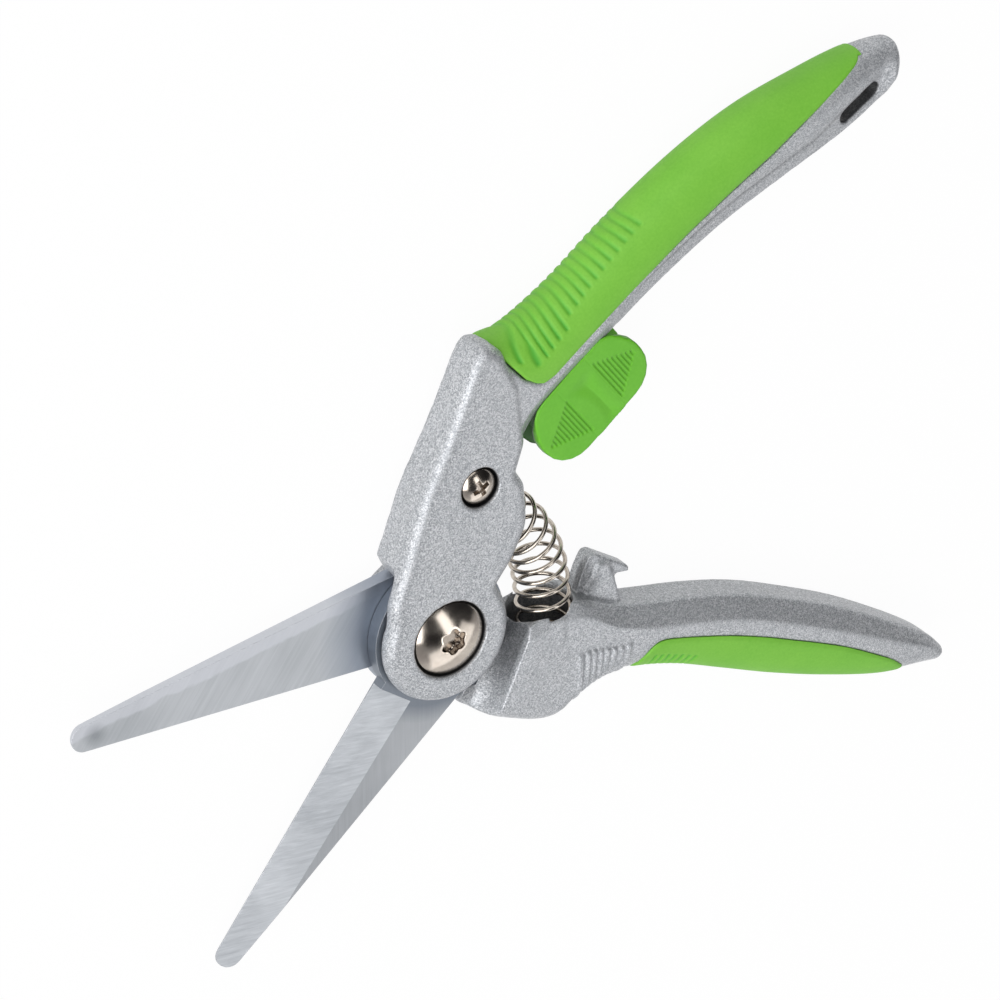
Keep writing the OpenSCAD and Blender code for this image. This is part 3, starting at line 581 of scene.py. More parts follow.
upper_pocket = at(*UPPER_MOUTH, MATING_Z)
lower_pocket = at(*LOWER_MOUTH, MATING_Z)
pocket_end = lower_pocket + POCKET_LONG * at(*PIVOT_SIDE, 0)
# Painted shade in the hang slot; weaker painted shade in the cove beside the pivot and at the hook's foot
hang_slot = at(108.76, 33.97, FRONT_Z), at(115.24, 34.43, FRONT_Z), FRONT, 1.5, FRONT_Z, 0.85, RIM_FADE
cove_shade = at(0, 0, 12.2), at(0, 0, 12.2), FRONT, 19.5, 5.6, 0.55, 3.0
hook_shade = at(27.6, -8.0, 13.6), at(27.4, -13.5, 13.6), FRONT, 3.6, 7.0, 0.6, 2.4
shade_sockets(upper_casting, drilled(0, 0, FRONT_Z, FRONT, BOLT_ROOM),
      drilled(*UPPER_SCREW, FRONT_Z, FRONT, SCREW_ROOM),
      (upper_pocket, upper_pocket, at(*UPPER_OUT, 0), POCKET_R, 5, 0.7, RIM_FADE), hang_slot)
shade_sockets(lower_casting, drilled(0, 0, 0, BACK, NUT_ROOM), drilled(*LOWER_SCREW, 0, BACK, SCREW_ROOM),
      (lower_pocket, pocket_end, at(*LOWER_OUT, 0), POCKET_R, 8.5, 0.66, RIM_FADE), cove_shade, hook_shade)
dress(upper_casting, "upper", "cast_handle", "upper_handle", silver_paint)
dress(lower_casting, "lower", "cast_handle", "lower_handle", silver_paint)

# %% [markdown]
# ## Rubber inlays
# Each inlay is a strip of rubber round the outer side of an arm. It is lofted: a section is drawn at many
# places along the arm, and neighbouring sections are joined by squares. The table holds a few sections of
# the arm, and a smooth curve runs through them.

# %% Sections of the arms
# x, y on the inner face, direction across in degrees, width, half thickness, rounding of the outer side
UPPER_ARM = np.array([
    [32.5, 25.0, 112, 17.5, 6.1, 8.4], [36.2, 26.1, 106, 17.8, 6.2, 8.8],
    [40.0, 26.8, 101, 15.3, 6.25, 8.4], [51.0, 28.8, 102, 13.9, 6.25, 7.6],
    [64.0, 30.9, 99, 14.3, 6.25, 7.8], [78.5, 32.1, 92, 14.9, 6.25, 8.2],
    [92.0, 31.7, 87, 15.2, 6.25, 8.4], [105.0, 31.0, 80, 13.4, 6.2, 7.6],
    [113.0, 31.0, 66, 11.5, 5.6, 6.4], [117.2, 31.2, 50, 10.0, 4.8, 5.4]])
LOWER_ARM = np.array([
    [25.4, 14.8, 118.5, 19.7, 5.9, 4.5], [30.2, 21.2, 123, 14.6, 5.9, 6.2],
    [36.2, 26.3, 125.5, 13.3, 6.25, 7.4], [44.8, 32.8, 130, 14.1, 6.25, 8.2],
    [53.8, 40.7, 133.5, 15.5, 6.25, 8.6], [62.4, 50.4, 136.5, 15.5, 6.25, 8.6],
    [70.6, 60.7, 138, 14.2, 6.25, 7.8], [78.1, 71.9, 139, 11.0, 5.7, 6.2],
    [82.8, 80.0, 137, 6.6, 4.7, 4.2], [84.3, 84.4, 140, 3.8, 3.6, 2.5]])
# Distance of the rubber's edge from the inner face, by number of the section
UPPER_EDGE = np.array([
    [1.05, 9.5], [1.2, 7.2], [1.5, 5.8], [2, 5.2], [3, 5.4], [4, 5.6], [5, 6.4], [6, 8.0], [6.5, 9.2],
    [7, 10.1], [7.4, 10.6], [7.65, 10.9], [7.8, 11.3], [7.9, 12.6]])
LOWER_EDGE = np.array([
    [1.86, 11.5], [1.94, 9.6], [2.05, 8.0], [2.2, 7.0], [2.4, 6.8], [2.9, 7.1], [4, 7.5], [5, 7.3],
    [6, 6.9], [7, 6.9], [7.4, 7.6]])


def section_at(arm, number):
    """The section at a number between two rows of the table, on a curve through them."""
    i = min(int(number), len(arm) - 2)
    a, b, c, d = arm[max(i - 1, 0)], arm[i], arm[i + 1], arm[min(i + 2, len(arm) - 1)]
    t = number - i
    bend = (2 * a - 5 * b + 4 * c - d) * t ** 2 + (3 * b - a - 3 * c + d) * t ** 3
    return (2 * b + (c - a) * t + bend) / 2


steps = np.linalg.norm(np.diff(UPPER_ARM[:, :2], axis=0), axis=1)
print("the upper arm's sections are", steps.round(1), "mm apart")

# %% [markdown]
# Every section of the rubber starts at its edge on the front, goes over the outer side to the edge on the
# back, and returns underneath. Grooves for the fingers are pressed in as smooth waves that fade towards the
# outer side. The rims turn down into the bed, as soft rubber does where it meets the mould.

# %% Sections of the rubber
# The rubber stands proud of the arm; it is thinner where the strip is narrow
PROUD = 0.25
RUBBER = 1.8
NARROW_SHARE = 0.55
LEAST_WIDE = 0.4
SIDE_FLAT = 0.4
# Numbers of points on half of a section, outside and underneath
ACROSS, UNDER = 34, 7
EDGE_ROUND, EDGE_DEEP = 0.5, 0.4
GROOVE_HALF, GROOVE_DEEP = 0.62, 0.45
# The grooves fan out on the way across and lose depth there
FAN_FROM, FAN_WIDE = 0.15, 0.95
FAN_LOSS = 0.7
START_STEEP = 25


def eased(value):
    """A smooth step from 0 to 1."""
    value = np.clip(value, 0, 1)
    return value * value * (3 - 2 * value)


def layer(section, edge, swell, count):
    """Half of a section, swollen outwards: distances from the inner face and heights, from the edge on."""
    width, height, rounding = section[3:] + swell
    s = edge + (width - edge) * np.sin(np.linspace(0, 1, count) * math.pi / 2)
    bow = np.sqrt(np.clip(1 - ((s - width + rounding) / rounding) ** 2, 0, 1))
    return s, np.where(s <= width - rounding, height, SIDE_FLAT + (height - SIDE_FLAT) * bow)


def pressed(s, z, run, ends, inner, outer, reach):
    """The outside with its grooves pressed in and its rims turned down, and the grooves' share of depth."""
    t = np.linspace(0, 1, len(s))
    rim = np.minimum(np.hypot(s - s[0], z - z[0]), min(run - ends[0], ends[1] - run))
    turn_down = 1 - np.sqrt(1 - (1 - np.clip(rim / EDGE_ROUND, 0, 1)) ** 2)
    fan = eased((t - FAN_FROM) / FAN_WIDE)
    first = inner[0] + (outer[0] - inner[0]) * fan
    pitch = inner[1] + (outer[1] - inner[1]) * fan
    k = np.clip(np.round((run - first) / pitch), 0, reach[-1, 0])
    off = np.clip(np.abs(run - first - k * pitch) / GROOVE_HALF, 0, 1)
    begun = np.clip((t - np.interp(k, reach[:, 0], reach[:, 1])) * START_STEEP, 0, 1)
    hollow = (0.5 + 0.5 * np.cos(math.pi * off)) * begun * (1 - FAN_LOSS * fan)
    press = GROOVE_DEEP * hollow + EDGE_DEEP * turn_down
    out = np.stack([s - s[0] + z[0], z], 1)
    out /= np.linalg.norm(out, axis=1)[:, None]
    return s - press * out[:, 0], z - press * out[:, 1], hollow


s, z = layer(UPPER_ARM[4], UPPER_EDGE[5, 1], PROUD, ACROSS)
print("a section of the rubber goes from", s[0].round(1), "to", s[-1].round(1), "mm")

# %% Loft the inlays
ROW_STEP = 0.2
SHARP_ANGLE = 35
# The edge's distance is averaged over these steps between sections
EDGE_MEAN = np.array([-0.06, -0.03, 0, 0.03, 0.06])


def solid(name, points, faces):
    """A linked object of points in millimetres, with its faces turned outwards."""
    mesh = bpy.data.meshes.new(name)
    mesh.from_pydata((points * MM).tolist(), [], faces)
    opened = bmesh.new()
    opened.from_mesh(mesh)
    bmesh.ops.recalc_face_normals(opened, faces=opened.faces)
    opened.to_mesh(mesh)
    opened.free()
    shade_smooth(mesh)
    mesh.set_sharp_from_angle(angle=math.radians(SHARP_ANGLE))
    return linked(name, mesh)


def lofted(name, arm, edges, inner, outer, reach, mirror):
    """A closed strip of rubber. Inner and outer are the first place and the pitch of the grooves, near the
    edge and on the outer side; reach says where across a groove starts, by its number. Mirror is 1 or -1."""
    lengths = np.concatenate([[0], np.cumsum(np.linalg.norm(np.diff(arm[:, :2], axis=0), axis=1))])
    start, stop = np.interp(edges[[0, -1], 0], range(len(arm)), lengths)
    rows, hollows = [], []
    for run in np.linspace(start, stop, round((stop - start) / ROW_STEP) + 1):
        number = np.interp(run, lengths, range(len(arm)))
        section = section_at(arm, number)
        x, y, across, width = section[:4]
        near = np.clip(number + EDGE_MEAN, edges[0, 0], edges[-1, 0])
        edge = min(np.interp(near, edges[:, 0], edges[:, 1]).mean(), width - LEAST_WIDE)
        s, z = layer(section, edge, PROUD, ACROSS)
        s, z, hollow = pressed(s, z, run, (start, stop), inner, outer, reach)
        s_in, z_in = layer(section, edge, -min(RUBBER, NARROW_SHARE * (width - edge)), UNDER)
        s = np.concatenate([s, s[::-1], s_in, s_in[::-1]])
        z = np.concatenate([z, -z[::-1], -z_in, z_in[::-1]])
        hollows.append(np.concatenate([hollow, hollow[::-1], np.zeros(2 * UNDER)]))
        way = turned(across)
        rows.append(np.stack([x + s * way[0], mirror * (y + s * way[1]), MATING_Z + z], 1))
    strip = solid(name, np.concatenate(rows), wrapped(len(rows), len(rows[0])))
    mark(strip, "groove", np.concatenate(hollows))
    return strip


UPPER_REACH = np.array([[0, 0.34], [1, 0.215], [3, 0.257], [5, 0.297], [6, 0.424], [9, 0.49], [13, 0.535],
                        [16, 0.57]])
LOWER_REACH = np.array([[0, 0.26], [6, 0.34]])
upper_inlay = lofted("upper_inlay", UPPER_ARM, UPPER_EDGE, (5.1, 1.92), (7.9, 1.67), UPPER_REACH, 1)
lower_inlay = lofted("lower_inlay", LOWER_ARM, LOWER_EDGE, (18.07, 1.7), (18.07, 1.7), LOWER_REACH, -1)
dress(upper_inlay, "upper", "grip_rubber", "upper_grip", grip_rubber)
dress(lower_inlay, "lower", "grip_rubber", "lower_grip", grip_rubber)

# %% [markdown]
# Between the rubber and the inner side, the upper arm rolls off in a round band and ends in a flat, pale
# lip. The solid has one straight chamfer there. Each point of the softened skin is measured in the arm's
# own sections, as a distance from the inner face, and its height is scaled to the rounder profile.

# %% Lip on the upper arm
LIP_DEEP = 1.2
CHAMFER_WIDE, CHAMFER_DEEP = 3.8, 2.7
BAND_CURVE = 2.2
# Distance of the crease between band and lip from the inner face, by number of the section
CREASE = np.array([[6.6, 3.8], [7.2, 5.3], [8.2, 6.0]])
# The lip runs between these sections, and only points beyond this x are measured
LIP_FROM, LIP_TO, LIP_FADE = 2.9, 9.0, 0.7
ARM_X = 47
MOST_LOWERED = 0.3
SECTION_COUNT, AT_ONCE = 400, 20000


def step(value, start, end):
    """A smooth step from 0 at the start to 1 at the end."""
    return eased((value - start) / (end - start))


points = read_points(upper_casting.data)
numbers = np.linspace(LIP_FROM - 0.1, LIP_TO, SECTION_COUNT)
sections = np.array([section_at(UPPER_ARM, number) for number in numbers])
ways = np.array([turned(section[2]) for section in sections])
on_arm = np.flatnonzero(points[:, 0] > ARM_X)
beside = np.empty(len(on_arm), int)
for first in range(0, len(on_arm), AT_ONCE):
    some = points[on_arm[first:first + AT_ONCE], None, :2] - sections[None, :, :2]
    aside = np.abs(some[..., 0] * ways[:, 1] - some[..., 1] * ways[:, 0])
    beside[first:first + AT_ONCE] = np.argmin(aside, axis=1)
number, half = numbers[beside], sections[beside, 4]
inside = ((points[on_arm, :2] - sections[beside, :2]) * ways[beside]).sum(1)
crease = np.interp(number, CREASE[:, 0], CREASE[:, 1])
edge = np.maximum(np.interp(number, UPPER_EDGE[:, 0], UPPER_EDGE[:, 1]), crease + 1)
was = half - CHAMFER_DEEP * np.clip(1 - inside / CHAMFER_WIDE, 0, 1)
band = half - LIP_DEEP * np.clip((edge - inside) / (edge - crease), 0, 1) ** BAND_CURVE
lip = half - CHAMFER_DEEP + (CHAMFER_DEEP - LIP_DEEP) * np.clip(inside / crease, 0, 1)
lowered = np.where(inside < crease, lip, band) / was - 1
lowered *= step(number, LIP_FROM, LIP_FROM + LIP_FADE) * step(number, LIP_TO, LIP_TO - LIP_FADE)
lowered *= inside < edge
points[on_arm, 2] += (points[on_arm, 2] - MATING_Z) * np.clip(lowered, -MOST_LOWERED, 0)
print("the lip lowers the arm by up to", round(float(-lowered.min() * half.max()), 2), "mm")

# %% [markdown]
# The outer corner of the head is also fuller than in the solid, by almost a millimetre. The crease between
# band and lip gets a weak value of painted shade.

# %% Head corner and painted shade in the crease
HEAD_CORNER, CORNER_WIDE = np.array([30, 44]), 7.0
CORNER_OUT = 0.95 * np.array([-0.405, 0.914])
# The corner's bulge ends before the rubber, between these values of x
BULGE_END = (33, 30)
# The painted shade lies beside the crease, between these sections, on the front and back
CREASE_SHADE_OFF, CREASE_SHADE_WIDE = 0.2, 0.45
CREASE_SHADE_FROM, CREASE_SHADE_TO = (3.3, 4.3), (8.6, 7.9)
CREASE_SHADE_SHARE = 0.35
CREASE_SHADE_HEIGHT = 3

from_corner = ((points[:, :2] - HEAD_CORNER) ** 2).sum(1)
bulge = np.exp(-from_corner / (2 * CORNER_WIDE ** 2)) * step(points[:, 0], *BULGE_END)
points[:, :2] += bulge[:, None] * CORNER_OUT
write_points(upper_casting.data, points)
shade_attribute = upper_casting.data.attributes["painted_shade"].data
shade_values = np.empty(len(points))
shade_attribute.foreach_get("value", shade_values)
# Painted shade along the crease
in_crease = np.exp(-((inside - crease + CREASE_SHADE_OFF) / CREASE_SHADE_WIDE) ** 2)
in_crease *= step(number, *CREASE_SHADE_FROM) * step(number, *CREASE_SHADE_TO)
in_crease *= np.abs(points[on_arm, 2] - MATING_Z) > CREASE_SHADE_HEIGHT
shade_values[on_arm] = np.maximum(shade_values[on_arm], CREASE_SHADE_SHARE * in_crease)
shade_attribute.foreach_set("value", shade_values)
most = bulge.max() * np.linalg.norm(CORNER_OUT)
print("the head's corner moves out by up to", round(float(most), 2), "mm")

# %% [markdown]
# ## The thumb slider
# The slider is skinned in the same way as the castings, but finer. It is a spool: a front and a back plate
# with a narrower waist between them. The plates reach over the arm's chamfer, so their upper edges are
# drawn out to it.

# %% Thumb slider
SLIDER_MID = np.array([43.5, 20.2])
SLIDER_WAY, SLIDER_SIDE = turned(12.5), turned(102.5)
# The solid's straight saddle: radius and depth
SADDLE_R, SADDLE_H = 9.0, 0.8
# Pairs are the start and end of a smooth step in millimetres
BODY_TOP = (8.0, 7.4)
WAIST, WAIST_ENDS = (3.0, 2.2), (5, 9)
WAIST_LEFT, WAIST_RIGHT = 0.16, 0.34
FACE = (2.5, 3.7)
PLATE_UP, PLATE = 0.8, (2, 4)
BRIM_UP, BRIM_SIDE, BRIM_FACE = 1.4, (3, 6.4), (4.2, 4.8)

thumb_slider = skinned("lock_slider", "thumb_slider", voxel=0.16, passes=4)
points = read_points(thumb_slider.data)
x = (points[:, :2] - SLIDER_MID) @ SLIDER_WAY
y = (points[:, :2] - SLIDER_MID) @ SLIDER_SIDE
height = points[:, 2] - MATING_Z
level = np.abs(height)
body = step(y, *BODY_TOP)
narrower = np.where(x < 0, WAIST_LEFT, WAIST_RIGHT) * body * step(level, *WAIST)
x = x * (1 - narrower * step(np.abs(x), *WAIST_ENDS))
straight_saddle = np.clip(np.sqrt(np.clip(SADDLE_R ** 2 - x ** 2, 0, None)) - SADDLE_R + SADDLE_H, 0, None)
filled = level + straight_saddle * step(level, *FACE)
brim = BRIM_UP * step(y, *BRIM_SIDE) * step(filled, *BRIM_FACE)
y = y + body * (PLATE_UP * step(filled, *PLATE) + brim)
points[:, :2] = SLIDER_MID + x[:, None] * SLIDER_WAY + y[:, None] * SLIDER_SIDE
print("the slider is", round(float(np.ptp(x)), 1), "mm long and", round(float(np.ptp(y)), 1), "mm wide")

# %% [markdown]
# Each plate carries two thumb pads with round borders and a hollow between them, and on each pad a triangle
# of grooves only three quarters of a millimetre apart. All are pressed into the skin by smooth curves.
# Hardly any light reaches the waist or the bottom of a groove, so both carry a value for painted shade.

# %% Pads and grooves of the slider
# Middle and radius of the circles that border the pads, and the hollow between them
LEFT_PAD, RIGHT_PAD = (-9.5, -0.8, 8.7), (16.3, 0, 13.4)
HOLLOW_DEEP, HOLLOW_RIM = 0.4, (0, 3)
HOLLOW_LOW, HOLLOW_HIGH = (-7.2, -3.2), (6.8, 3.8)
GROOVE_PITCH = 0.78
GROOVE_DEPTH = 0.22
# Each triangle of grooves: side, its base and tip along the slider, half its base, its middle across
TRIANGLES = ((-1, 3.6, 11.4, 4.6, 0.6), (1, 4.3, 11.6, 5.2, 1.2))
TIP_LEFT, END_FADE = 0.3, 0.35
GROOVE_FACE = (4.0, 4.5)
# Painted shade on the waist: its left end, and the top behind the plates
WAIST_DARK, DARK_BELOW = 0.85, (4, 3.2)
DARK_LEFT, DARK_TOP, DARK_RIGHT = (-6, -9), (4, 5.5), (5, 2)


def outside(pad):
    """How far a point lies outside a pad's circle."""
    return np.hypot(x - pad[0], y - pad[1]) - pad[2]


rims = [step(outside(pad), *HOLLOW_RIM) for pad in (LEFT_PAD, RIGHT_PAD)]
hollow = HOLLOW_DEEP * np.minimum(*rims) * step(y, *HOLLOW_LOW) * step(y, *HOLLOW_HIGH)
lowered = (hollow - straight_saddle) * step(level, *FACE)
grooves = np.zeros(len(points))
for side, base, tip, half, middle in TRIANGLES:
    reach = side * x
    row = np.round((reach - base) / GROOVE_PITCH)
    row_at = base + row * GROOVE_PITCH
    wave = 0.5 + 0.5 * np.cos(2 * math.pi * (reach - row_at) / GROOVE_PITCH)
    wide = half * (tip - row_at) / (tip - base)
    end_fade = np.clip((wide - np.abs(y - middle)) / END_FADE, 0, 1)
    within = (row >= 0) & (row_at < tip - TIP_LEFT)
    on_face = np.clip((level - GROOVE_FACE[0]) / (GROOVE_FACE[1] - GROOVE_FACE[0]), 0, 1)
    grooves += wave * end_fade * within * on_face
points[:, 2] -= np.sign(height) * (lowered + GROOVE_DEPTH * grooves)
write_points(thumb_slider.data, points)
# Painted shade: the grooves, and the waist's left end and top, carry a dark value
top = step(y, *DARK_TOP) * step(x, *DARK_RIGHT)
left = (x - DARK_LEFT[0]) / (DARK_LEFT[1] - DARK_LEFT[0])
shut_in = WAIST_DARK * step(level, *DARK_BELOW) * eased(left + top)
mark(thumb_slider, "groove", np.maximum(GROOVE_DEPTH * grooves, shut_in))
dress(thumb_slider, "slider", "slider_plastic", "lock_slider", slider_plastic)

# %% [markdown]
# ## Blades
# Flat ground steel keeps its crisp planes, so the blades aren't remeshed. A copy of each solid is cleaned
# to plain faces, and a bevel of a twentieth of a millimetre breaks its edges and catches a thin line of
# light. Faces that slope a little belong to the ground bevel and take its own finish. The strip is 3 mm
# thick at the pivot and is ground thinner towards the tip, so heights from the mating plane are scaled
# down.

# %% Blades
FLAT_WITHIN = 0.5
FOLD_ANGLE, BLADE_FOLD = 32, 6
BEVEL_SLOPES = (4, 30)
# Share by which a blade is thinner, at these distances from the pivot
THIN_AT = (12, 21, 30, 42, 66)
THIN_BY = (0.05, 0.25, 0.37, 0.46, 0.5)


def broken_edges(node_name, piece_name, width, angle):
    """A copy of a node with its flat faces joined and its edges sharper than an angle broken."""
    piece, opened = copied(node_name, piece_name)
    bmesh.ops.dissolve_limit(opened, angle_limit=math.radians(FLAT_WITHIN), verts=opened.verts,
                             edges=opened.edges)
    opened.to_mesh(piece.data)
    opened.free()
    bevel = piece.modifiers.new("broken edge", "BEVEL")
    bevel.width = width * MM
    bevel.segments = 2
    bevel.limit_method = "ANGLE"
    bevel.angle_limit = math.radians(angle)
    bevel.harden_normals = False
    skin = applied(piece)
    shade_smooth(skin)
    skin.set_sharp_from_angle(angle=math.radians(FOLD_ANGLE))
    return piece


for node_name, piece_name, body, flat in (("upper_blade", "front_blade", "upper", flat_steel),
                                          ("lower_blade", "rear_blade", "lower", face_steel)):
    blade = broken_edges(node_name, piece_name, width=0.05, angle=12)
    points = read_points(blade.data)
    thinner = np.interp(np.hypot(points[:, 0], points[:, 1]), THIN_AT, THIN_BY)
    points[:, 2] -= (points[:, 2] - MATING_Z) * thinner
    write_points(blade.data, points)
    blade.data.set_sharp_from_angle(angle=math.radians(BLADE_FOLD))
    dress(blade, body, "blade_steel", node_name, flat, bevel_steel)
    for face in blade.data.polygons:
        slope = math.degrees(math.acos(min(1, abs(face.normal.z))))
        face.material_index = int(BEVEL_SLOPES[0] < slope < BEVEL_SLOPES[1])

# %% [markdown]
# ## Bolt and screws
# The plated heads are turned, so their domes must be perfectly smooth to carry a clean reflection. Each is
# made on a polar grid: rings of points from the floor of the recess up its wall, over the dome, round the
# rim and down the shank. The dome is a piece of a ball. The recess is a radius that changes with the angle,
# six waves for the bolt and a plus sign for the screws. Shade is painted into the recess, so its points
# carry a value.

# %% Bolt and screws
SECTORS = 144
DOME_RINGS = 16
LOBE_R, LOBE_WAVE = 2.3, 0.27
CROSS_LONG, CROSS_HALF = 1.6, 0.45
# Shares of the recess's radius for the rings of its floor, and small roundings of floor, mouth and rim
FLOOR_RINGS = (0.01, 0.35, 0.7, 0.94)
FLOOR_ROUND, MOUTH, MOUTH_STEP = 0.08, 0.1, 0.03
RIM_ROUND, RIM_STEP = 0.1, 0.08
# Painted shade on the rings from the middle of the floor to the mouth
RECESS_SHADE = (0.5, 0.5, 0.6, 0.65, 0.6, 0.3, 0.1)
angles = np.arange(SECTORS) * 2 * math.pi / SECTORS
six_lobes = LOBE_R + LOBE_WAVE * np.cos(6 * angles)
c, s = np.abs(np.cos(angles)) + 1e-9, np.abs(np.sin(angles)) + 1e-9
level_bar = np.minimum(CROSS_LONG / c, CROSS_HALF / s)
upright_bar = np.minimum(CROSS_LONG / s, CROSS_HALF / c)
plus_sign = np.maximum(level_bar, upright_bar)


def headed(name, centre, up, seat, head, recess, recess_h, shank):
    """Head is radius, rim and height above the seat; shank is (radius, height) down to the end. Up is 1 for
    the front and -1 for the back."""
    radius, rim, high = head
    edge = recess + MOUTH
    ball = (radius ** 2 + (high - rim) ** 2) / (2 * (high - rim))

    def dome(r):
        return seat + high - ball + np.sqrt(ball ** 2 - r ** 2)

    flat = np.ones(SECTORS)
    floor = seat + high - recess_h
    rings = [(recess * share, floor * flat) for share in FLOOR_RINGS]
    rings += [(recess, (floor + FLOOR_ROUND) * flat), (recess, dome(recess) - MOUTH)]
    rings += [(recess + MOUTH_STEP, dome(recess) - MOUTH_STEP)]
    for share in np.linspace(0, 1, DOME_RINGS):
        r = edge + (radius - edge) * math.sin(share * math.pi / 2)
        rings.append((r, dome(r)))
    rings[-1] = ((radius - RIM_STEP) * flat, dome(radius - RIM_STEP) * flat)
    turned_down = [(radius, seat + rim - RIM_ROUND), (radius, seat + RIM_ROUND), (radius - RIM_ROUND, seat)]
    rings += [(r * flat, z * flat) for r, z in (*turned_down, *shank)]
    rows = [np.stack([centre[0] + r * np.cos(angles), centre[1] + r * np.sin(angles), MATING_Z + up * z], 1)
            for r, z in rings]
    made = solid(name, np.concatenate(rows), wrapped(len(rows), SECTORS))
    recess_shade = np.zeros(len(rows))
    recess_shade[:len(RECESS_SHADE)] = RECESS_SHADE
    mark(made, "recess_shade", np.repeat(recess_shade, SECTORS))
    return made


BOLT_SHANK = ((4, 4.9), (4, -4), (3, -4), (3, -6.4), (2.9, -6.5))
SCREW_SHANK = ((1.45, 4.5), (1.45, -4.7), (1.3, -4.85))
bolt = headed("domed_bolt", (0, 0), 1, 4.9, (6.8, 0.8, 2.6), six_lobes, 1.8, BOLT_SHANK)
front_screw = headed("front_screw", UPPER_SCREW, 1, 4.5, (3.25, 1.1, 2.1), plus_sign, 1.1, SCREW_SHANK)
rear_screw = headed("rear_screw", LOWER_SCREW, -1, 4.5, (3.25, 1.1, 2), plus_sign, 1.1, SCREW_SHANK)
dress(bolt, "upper", "plated_steel", "pivot_bolt", nickel)
dress(front_screw, "upper", "plated_steel", "upper_blade_screw", nickel)
dress(rear_screw, "lower", "plated_steel", "lower_blade_screw", nickel)

# %% [markdown]
# The lock nut, its washer and the nylon ring sit at the back. They are plain prisms and rings, so copies of
# the solids with broken edges are enough.

# %% Nut, washer and ring
for node_name, piece_name, material, slot in (
        ("pivot_nut", "lock_nut", nickel, "plated_steel"),
        ("pivot_washer", "nut_washer", nickel, "plated_steel"),
        ("nut_insert", "nylon_ring", nylon, "nylon")):
    piece = broken_edges(node_name, piece_name, width=0.08, angle=40)
    dress(piece, "upper", slot, node_name, material)

# %% [markdown]
# ## Return spring
# The spring is one wire wound round a curved axis. Its middle line is the same as in the solid: a curve
# between the two pockets, turned 11 times, closer at the ends. A ring of points round that line gives the
# wire. It belongs to both handles.

# %% Return spring
WIRE = 0.8
COIL = 4.8
TURNS = 11
PER_TURN = 48
# Climb of the first and last turn, and the bowed axis's length against a straight one
CLOSED = 1.55
BOWED = 1.03
BOW = 14
# A small share of the axis, for measuring its direction
NEARBY = 0.01
LOWER_SEAT, UPPER_SEAT = 7.9, 4.4
SPRING_FROM = LOWER_MOUTH - LOWER_SEAT * LOWER_OUT
SPRING_TO = UPPER_MOUTH - UPPER_SEAT * UPPER_OUT
END_SHARE = CLOSED / (BOWED * np.linalg.norm(SPRING_TO - SPRING_FROM))


def unit(way):
    return way / np.linalg.norm(way)


def axis_point(t):
    """A point of the bowed axis, from the lower pocket to the upper one."""
    stops = [SPRING_FROM, SPRING_FROM + BOW * LOWER_OUT, SPRING_TO + BOW * UPPER_OUT, SPRING_TO]
    shares = [(1 - t) ** 3, 3 * t * (1 - t) ** 2, 3 * t * t * (1 - t), t ** 3]
    return sum(share * stop for share, stop in zip(shares, stops))


def climbed(turn):
    """How far along the axis the wire has climbed; the end turns lie closer together."""
    if turn < 1:
        return turn * END_SHARE
    if turn > TURNS - 1:
        return 1 - (TURNS - turn) * END_SHARE
    return END_SHARE + (turn - 1) * (1 - 2 * END_SHARE) / (TURNS - 2)


def wire_point(turn):
    """The middle of the wire after a number of turns."""
    t = climbed(turn)
    middle = axis_point(t)
    way = unit(axis_point(min(1, t + NEARBY)) - axis_point(max(0, t - NEARBY)))
    a = 2 * math.pi * turn
    return np.array([middle[0] - COIL * math.cos(a) * way[1], middle[1] + COIL * math.cos(a) * way[0],
                     MATING_Z + COIL * math.sin(a)])


wound = [wire_point(i / PER_TURN) for i in range(TURNS * PER_TURN + 1)]
first = wound[0] + WIRE * unit(wound[0] - wound[1])
last = wound[-1] + WIRE * unit(wound[-1] - wound[-2])
path = np.array([first, *wound, last])
print("spring wire is", round(float(np.linalg.norm(np.diff(path, axis=0), axis=1).sum())), "mm long")

# %% Wire round the path
WIRE_SIDES = 16


def tube(name, path, radius, count):
    """A closed tube round a path of points."""
    rings = []
    side = np.array([0.0, 0.0, 1.0])
    for i, point in enumerate(path):
        way = unit(path[min(i + 1, len(path) - 1)] - path[max(i - 1, 0)])
        side = unit(side - way * (side @ way))
        other = np.cross(way, side)
        rings.append([point + radius * (math.cos(a) * side + math.sin(a) * other)
                      for a in np.arange(count) * 2 * math.pi / count])
    return solid(name, np.concatenate(rings), wrapped(len(path), count))


spring = tube("coil_spring", path, WIRE / 2, WIRE_SIDES)
spring.data.materials.append(spring_wire)
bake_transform(spring)
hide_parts("return_spring")
print(spring.name, "has", len(spring.data.polygons), "faces")

# %% [markdown]
# ## Floor and light
# A pale floor lies just under the shears. For the camera and for reflections it is almost plain white, with
# a faint shadow. The light is a small product studio: a key lamp on the left that draws the white line down
# the head, a big soft lamp over the photographer's shoulder, a pale card opposite for the blades, a long
# strip over the back whose image shows in the bolt, and pale walls under a dark ceiling, which give
# polished steel its light and dark parts.

# %% Floor
SIDE = 3.0
# Share of plain white in what the camera sees; the rest is lit paper with its shadow
PLAIN_WHITE = 0.96
floor_mesh = bpy.data.meshes.new("floor")
corners = [(-SIDE, -SIDE, 0), (SIDE, -SIDE, 0), (SIDE, SIDE, 0), (-SIDE, SIDE, 0)]
floor_mesh.from_pydata(corners, [], [(0, 1, 2, 3)])
floor = linked("floor", floor_mesh)
studio_white = bpy.data.materials.new("white_paper_floor")
studio_white.use_nodes = True
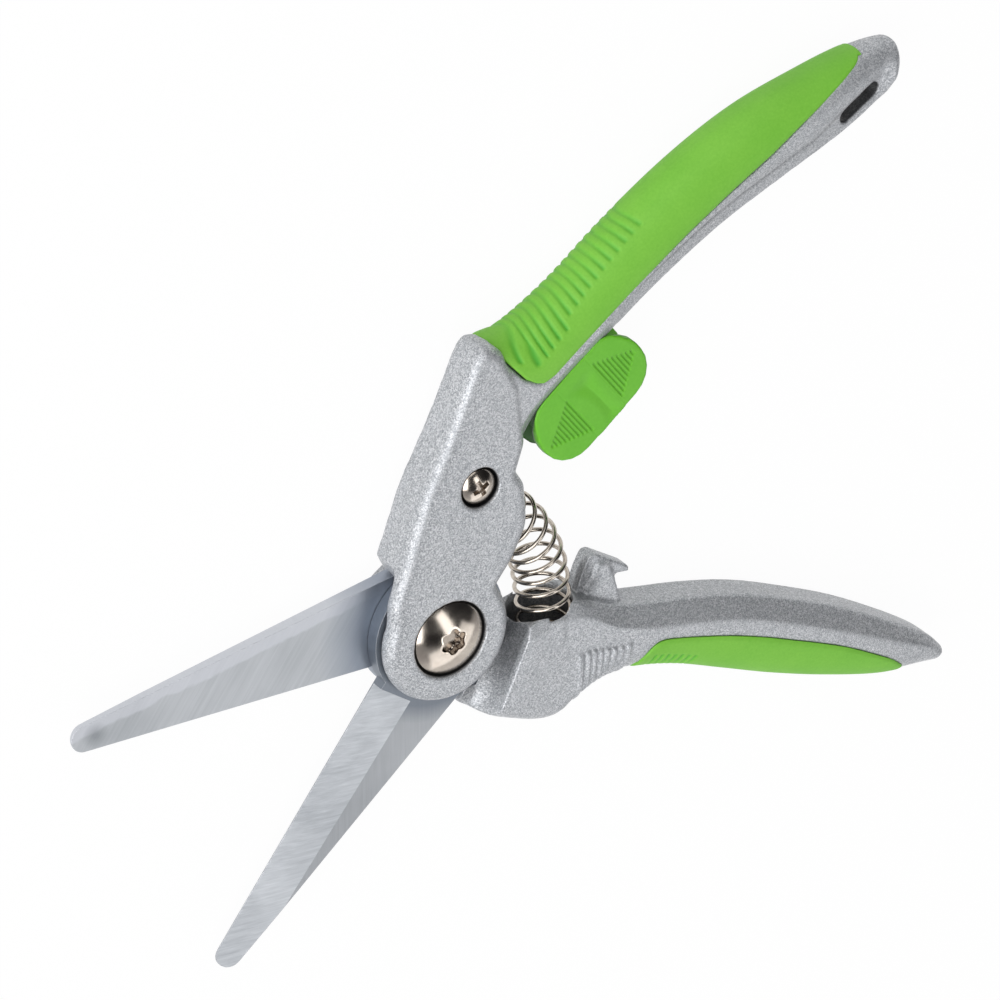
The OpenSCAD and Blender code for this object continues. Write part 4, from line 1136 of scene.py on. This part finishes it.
# Matt, slightly grey paper that glows an even white for the eye
paper = studio_white.node_tree.nodes["Principled BSDF"]
paper.inputs["Base Color"].default_value = colour("#F2F2F2")
paper.inputs["Roughness"].default_value = 0.9
ray = node(studio_white, "LightPath").outputs
seen = calculated(studio_white, "MAXIMUM", ray["Is Camera Ray"], ray["Is Glossy Ray"])
seen = calculated(studio_white, "MAXIMUM", seen, ray["Is Transmission Ray"])
plain = calculated(studio_white, "MULTIPLY", seen, PLAIN_WHITE)
glow = node(studio_white, "Emission", {"Color": colour("#FFFFFF"), "Strength": 1.0}).outputs["Emission"]
blend = node(studio_white, "MixShader", {0: plain, 1: paper.outputs["BSDF"], 2: glow}).outputs["Shader"]
feed(studio_white, blend, studio_white.node_tree.nodes["Material Output"], "Surface")
floor_mesh.materials.append(studio_white)
print("floor of", 2 * SIDE, "m with", studio_white.name)

# %% Lamps and walls
AIM = Vector((0.02, 0, 0))
# The dark ceiling comes down on the right, from this share of the way
RIGHT_FROM = 0.3


def lamp(name, direction, distance, size, watts, roll=0):
    """A lamp in a direction from the tool, facing it."""
    data = bpy.data.lights.new(name, "AREA")
    data.shape = "RECTANGLE"
    data.size, data.size_y = size
    data.energy = watts
    made = linked(name, data)
    way = Vector(direction).normalized()
    made.location = AIM + way * distance
    facing = way.to_track_quat("Z", "Y").to_matrix()
    made.rotation_euler = (facing @ Matrix.Rotation(math.radians(roll), 3, "Z")).to_euler()


lamp("key", (-0.65, 0.34, 0.67), distance=1.2, size=(1.1, 1.3), watts=13)
lamp("front", (0.05, 0.72, 0.70), distance=1.3, size=(1.2, 1.0), watts=4.2)
lamp("card", (0.13, -0.75, 0.64), distance=1.1, size=(1.2, 0.65), watts=2.0)
lamp("strip", (0.23, -0.22, 0.95), distance=1.0, size=(0.9, 0.26), watts=1.3, roll=41)

world = bpy.data.worlds.new("studio")
world.use_nodes = True
scene.world = world
upward = node(world, "SeparateXYZ", {"Vector": node(world, "TexCoord").outputs["Generated"]})
right = calculated(world, "MAXIMUM", calculated(world, "SUBTRACT", upward.outputs["X"], RIGHT_FROM), 0.0)
rise = calculated(world, "ADD", upward.outputs["Z"], right)
walls = ramp(world, rise, (0.25, "#FFFFFF"), (0.6, "#C0C0C2"), (0.8, "#A8A8AA"), (0.88, "#28282A"))
background = world.node_tree.nodes["Background"]
feed(world, walls, background, "Color")
background.inputs["Strength"].default_value = 0.7
scene.view_settings.view_transform = "Standard"
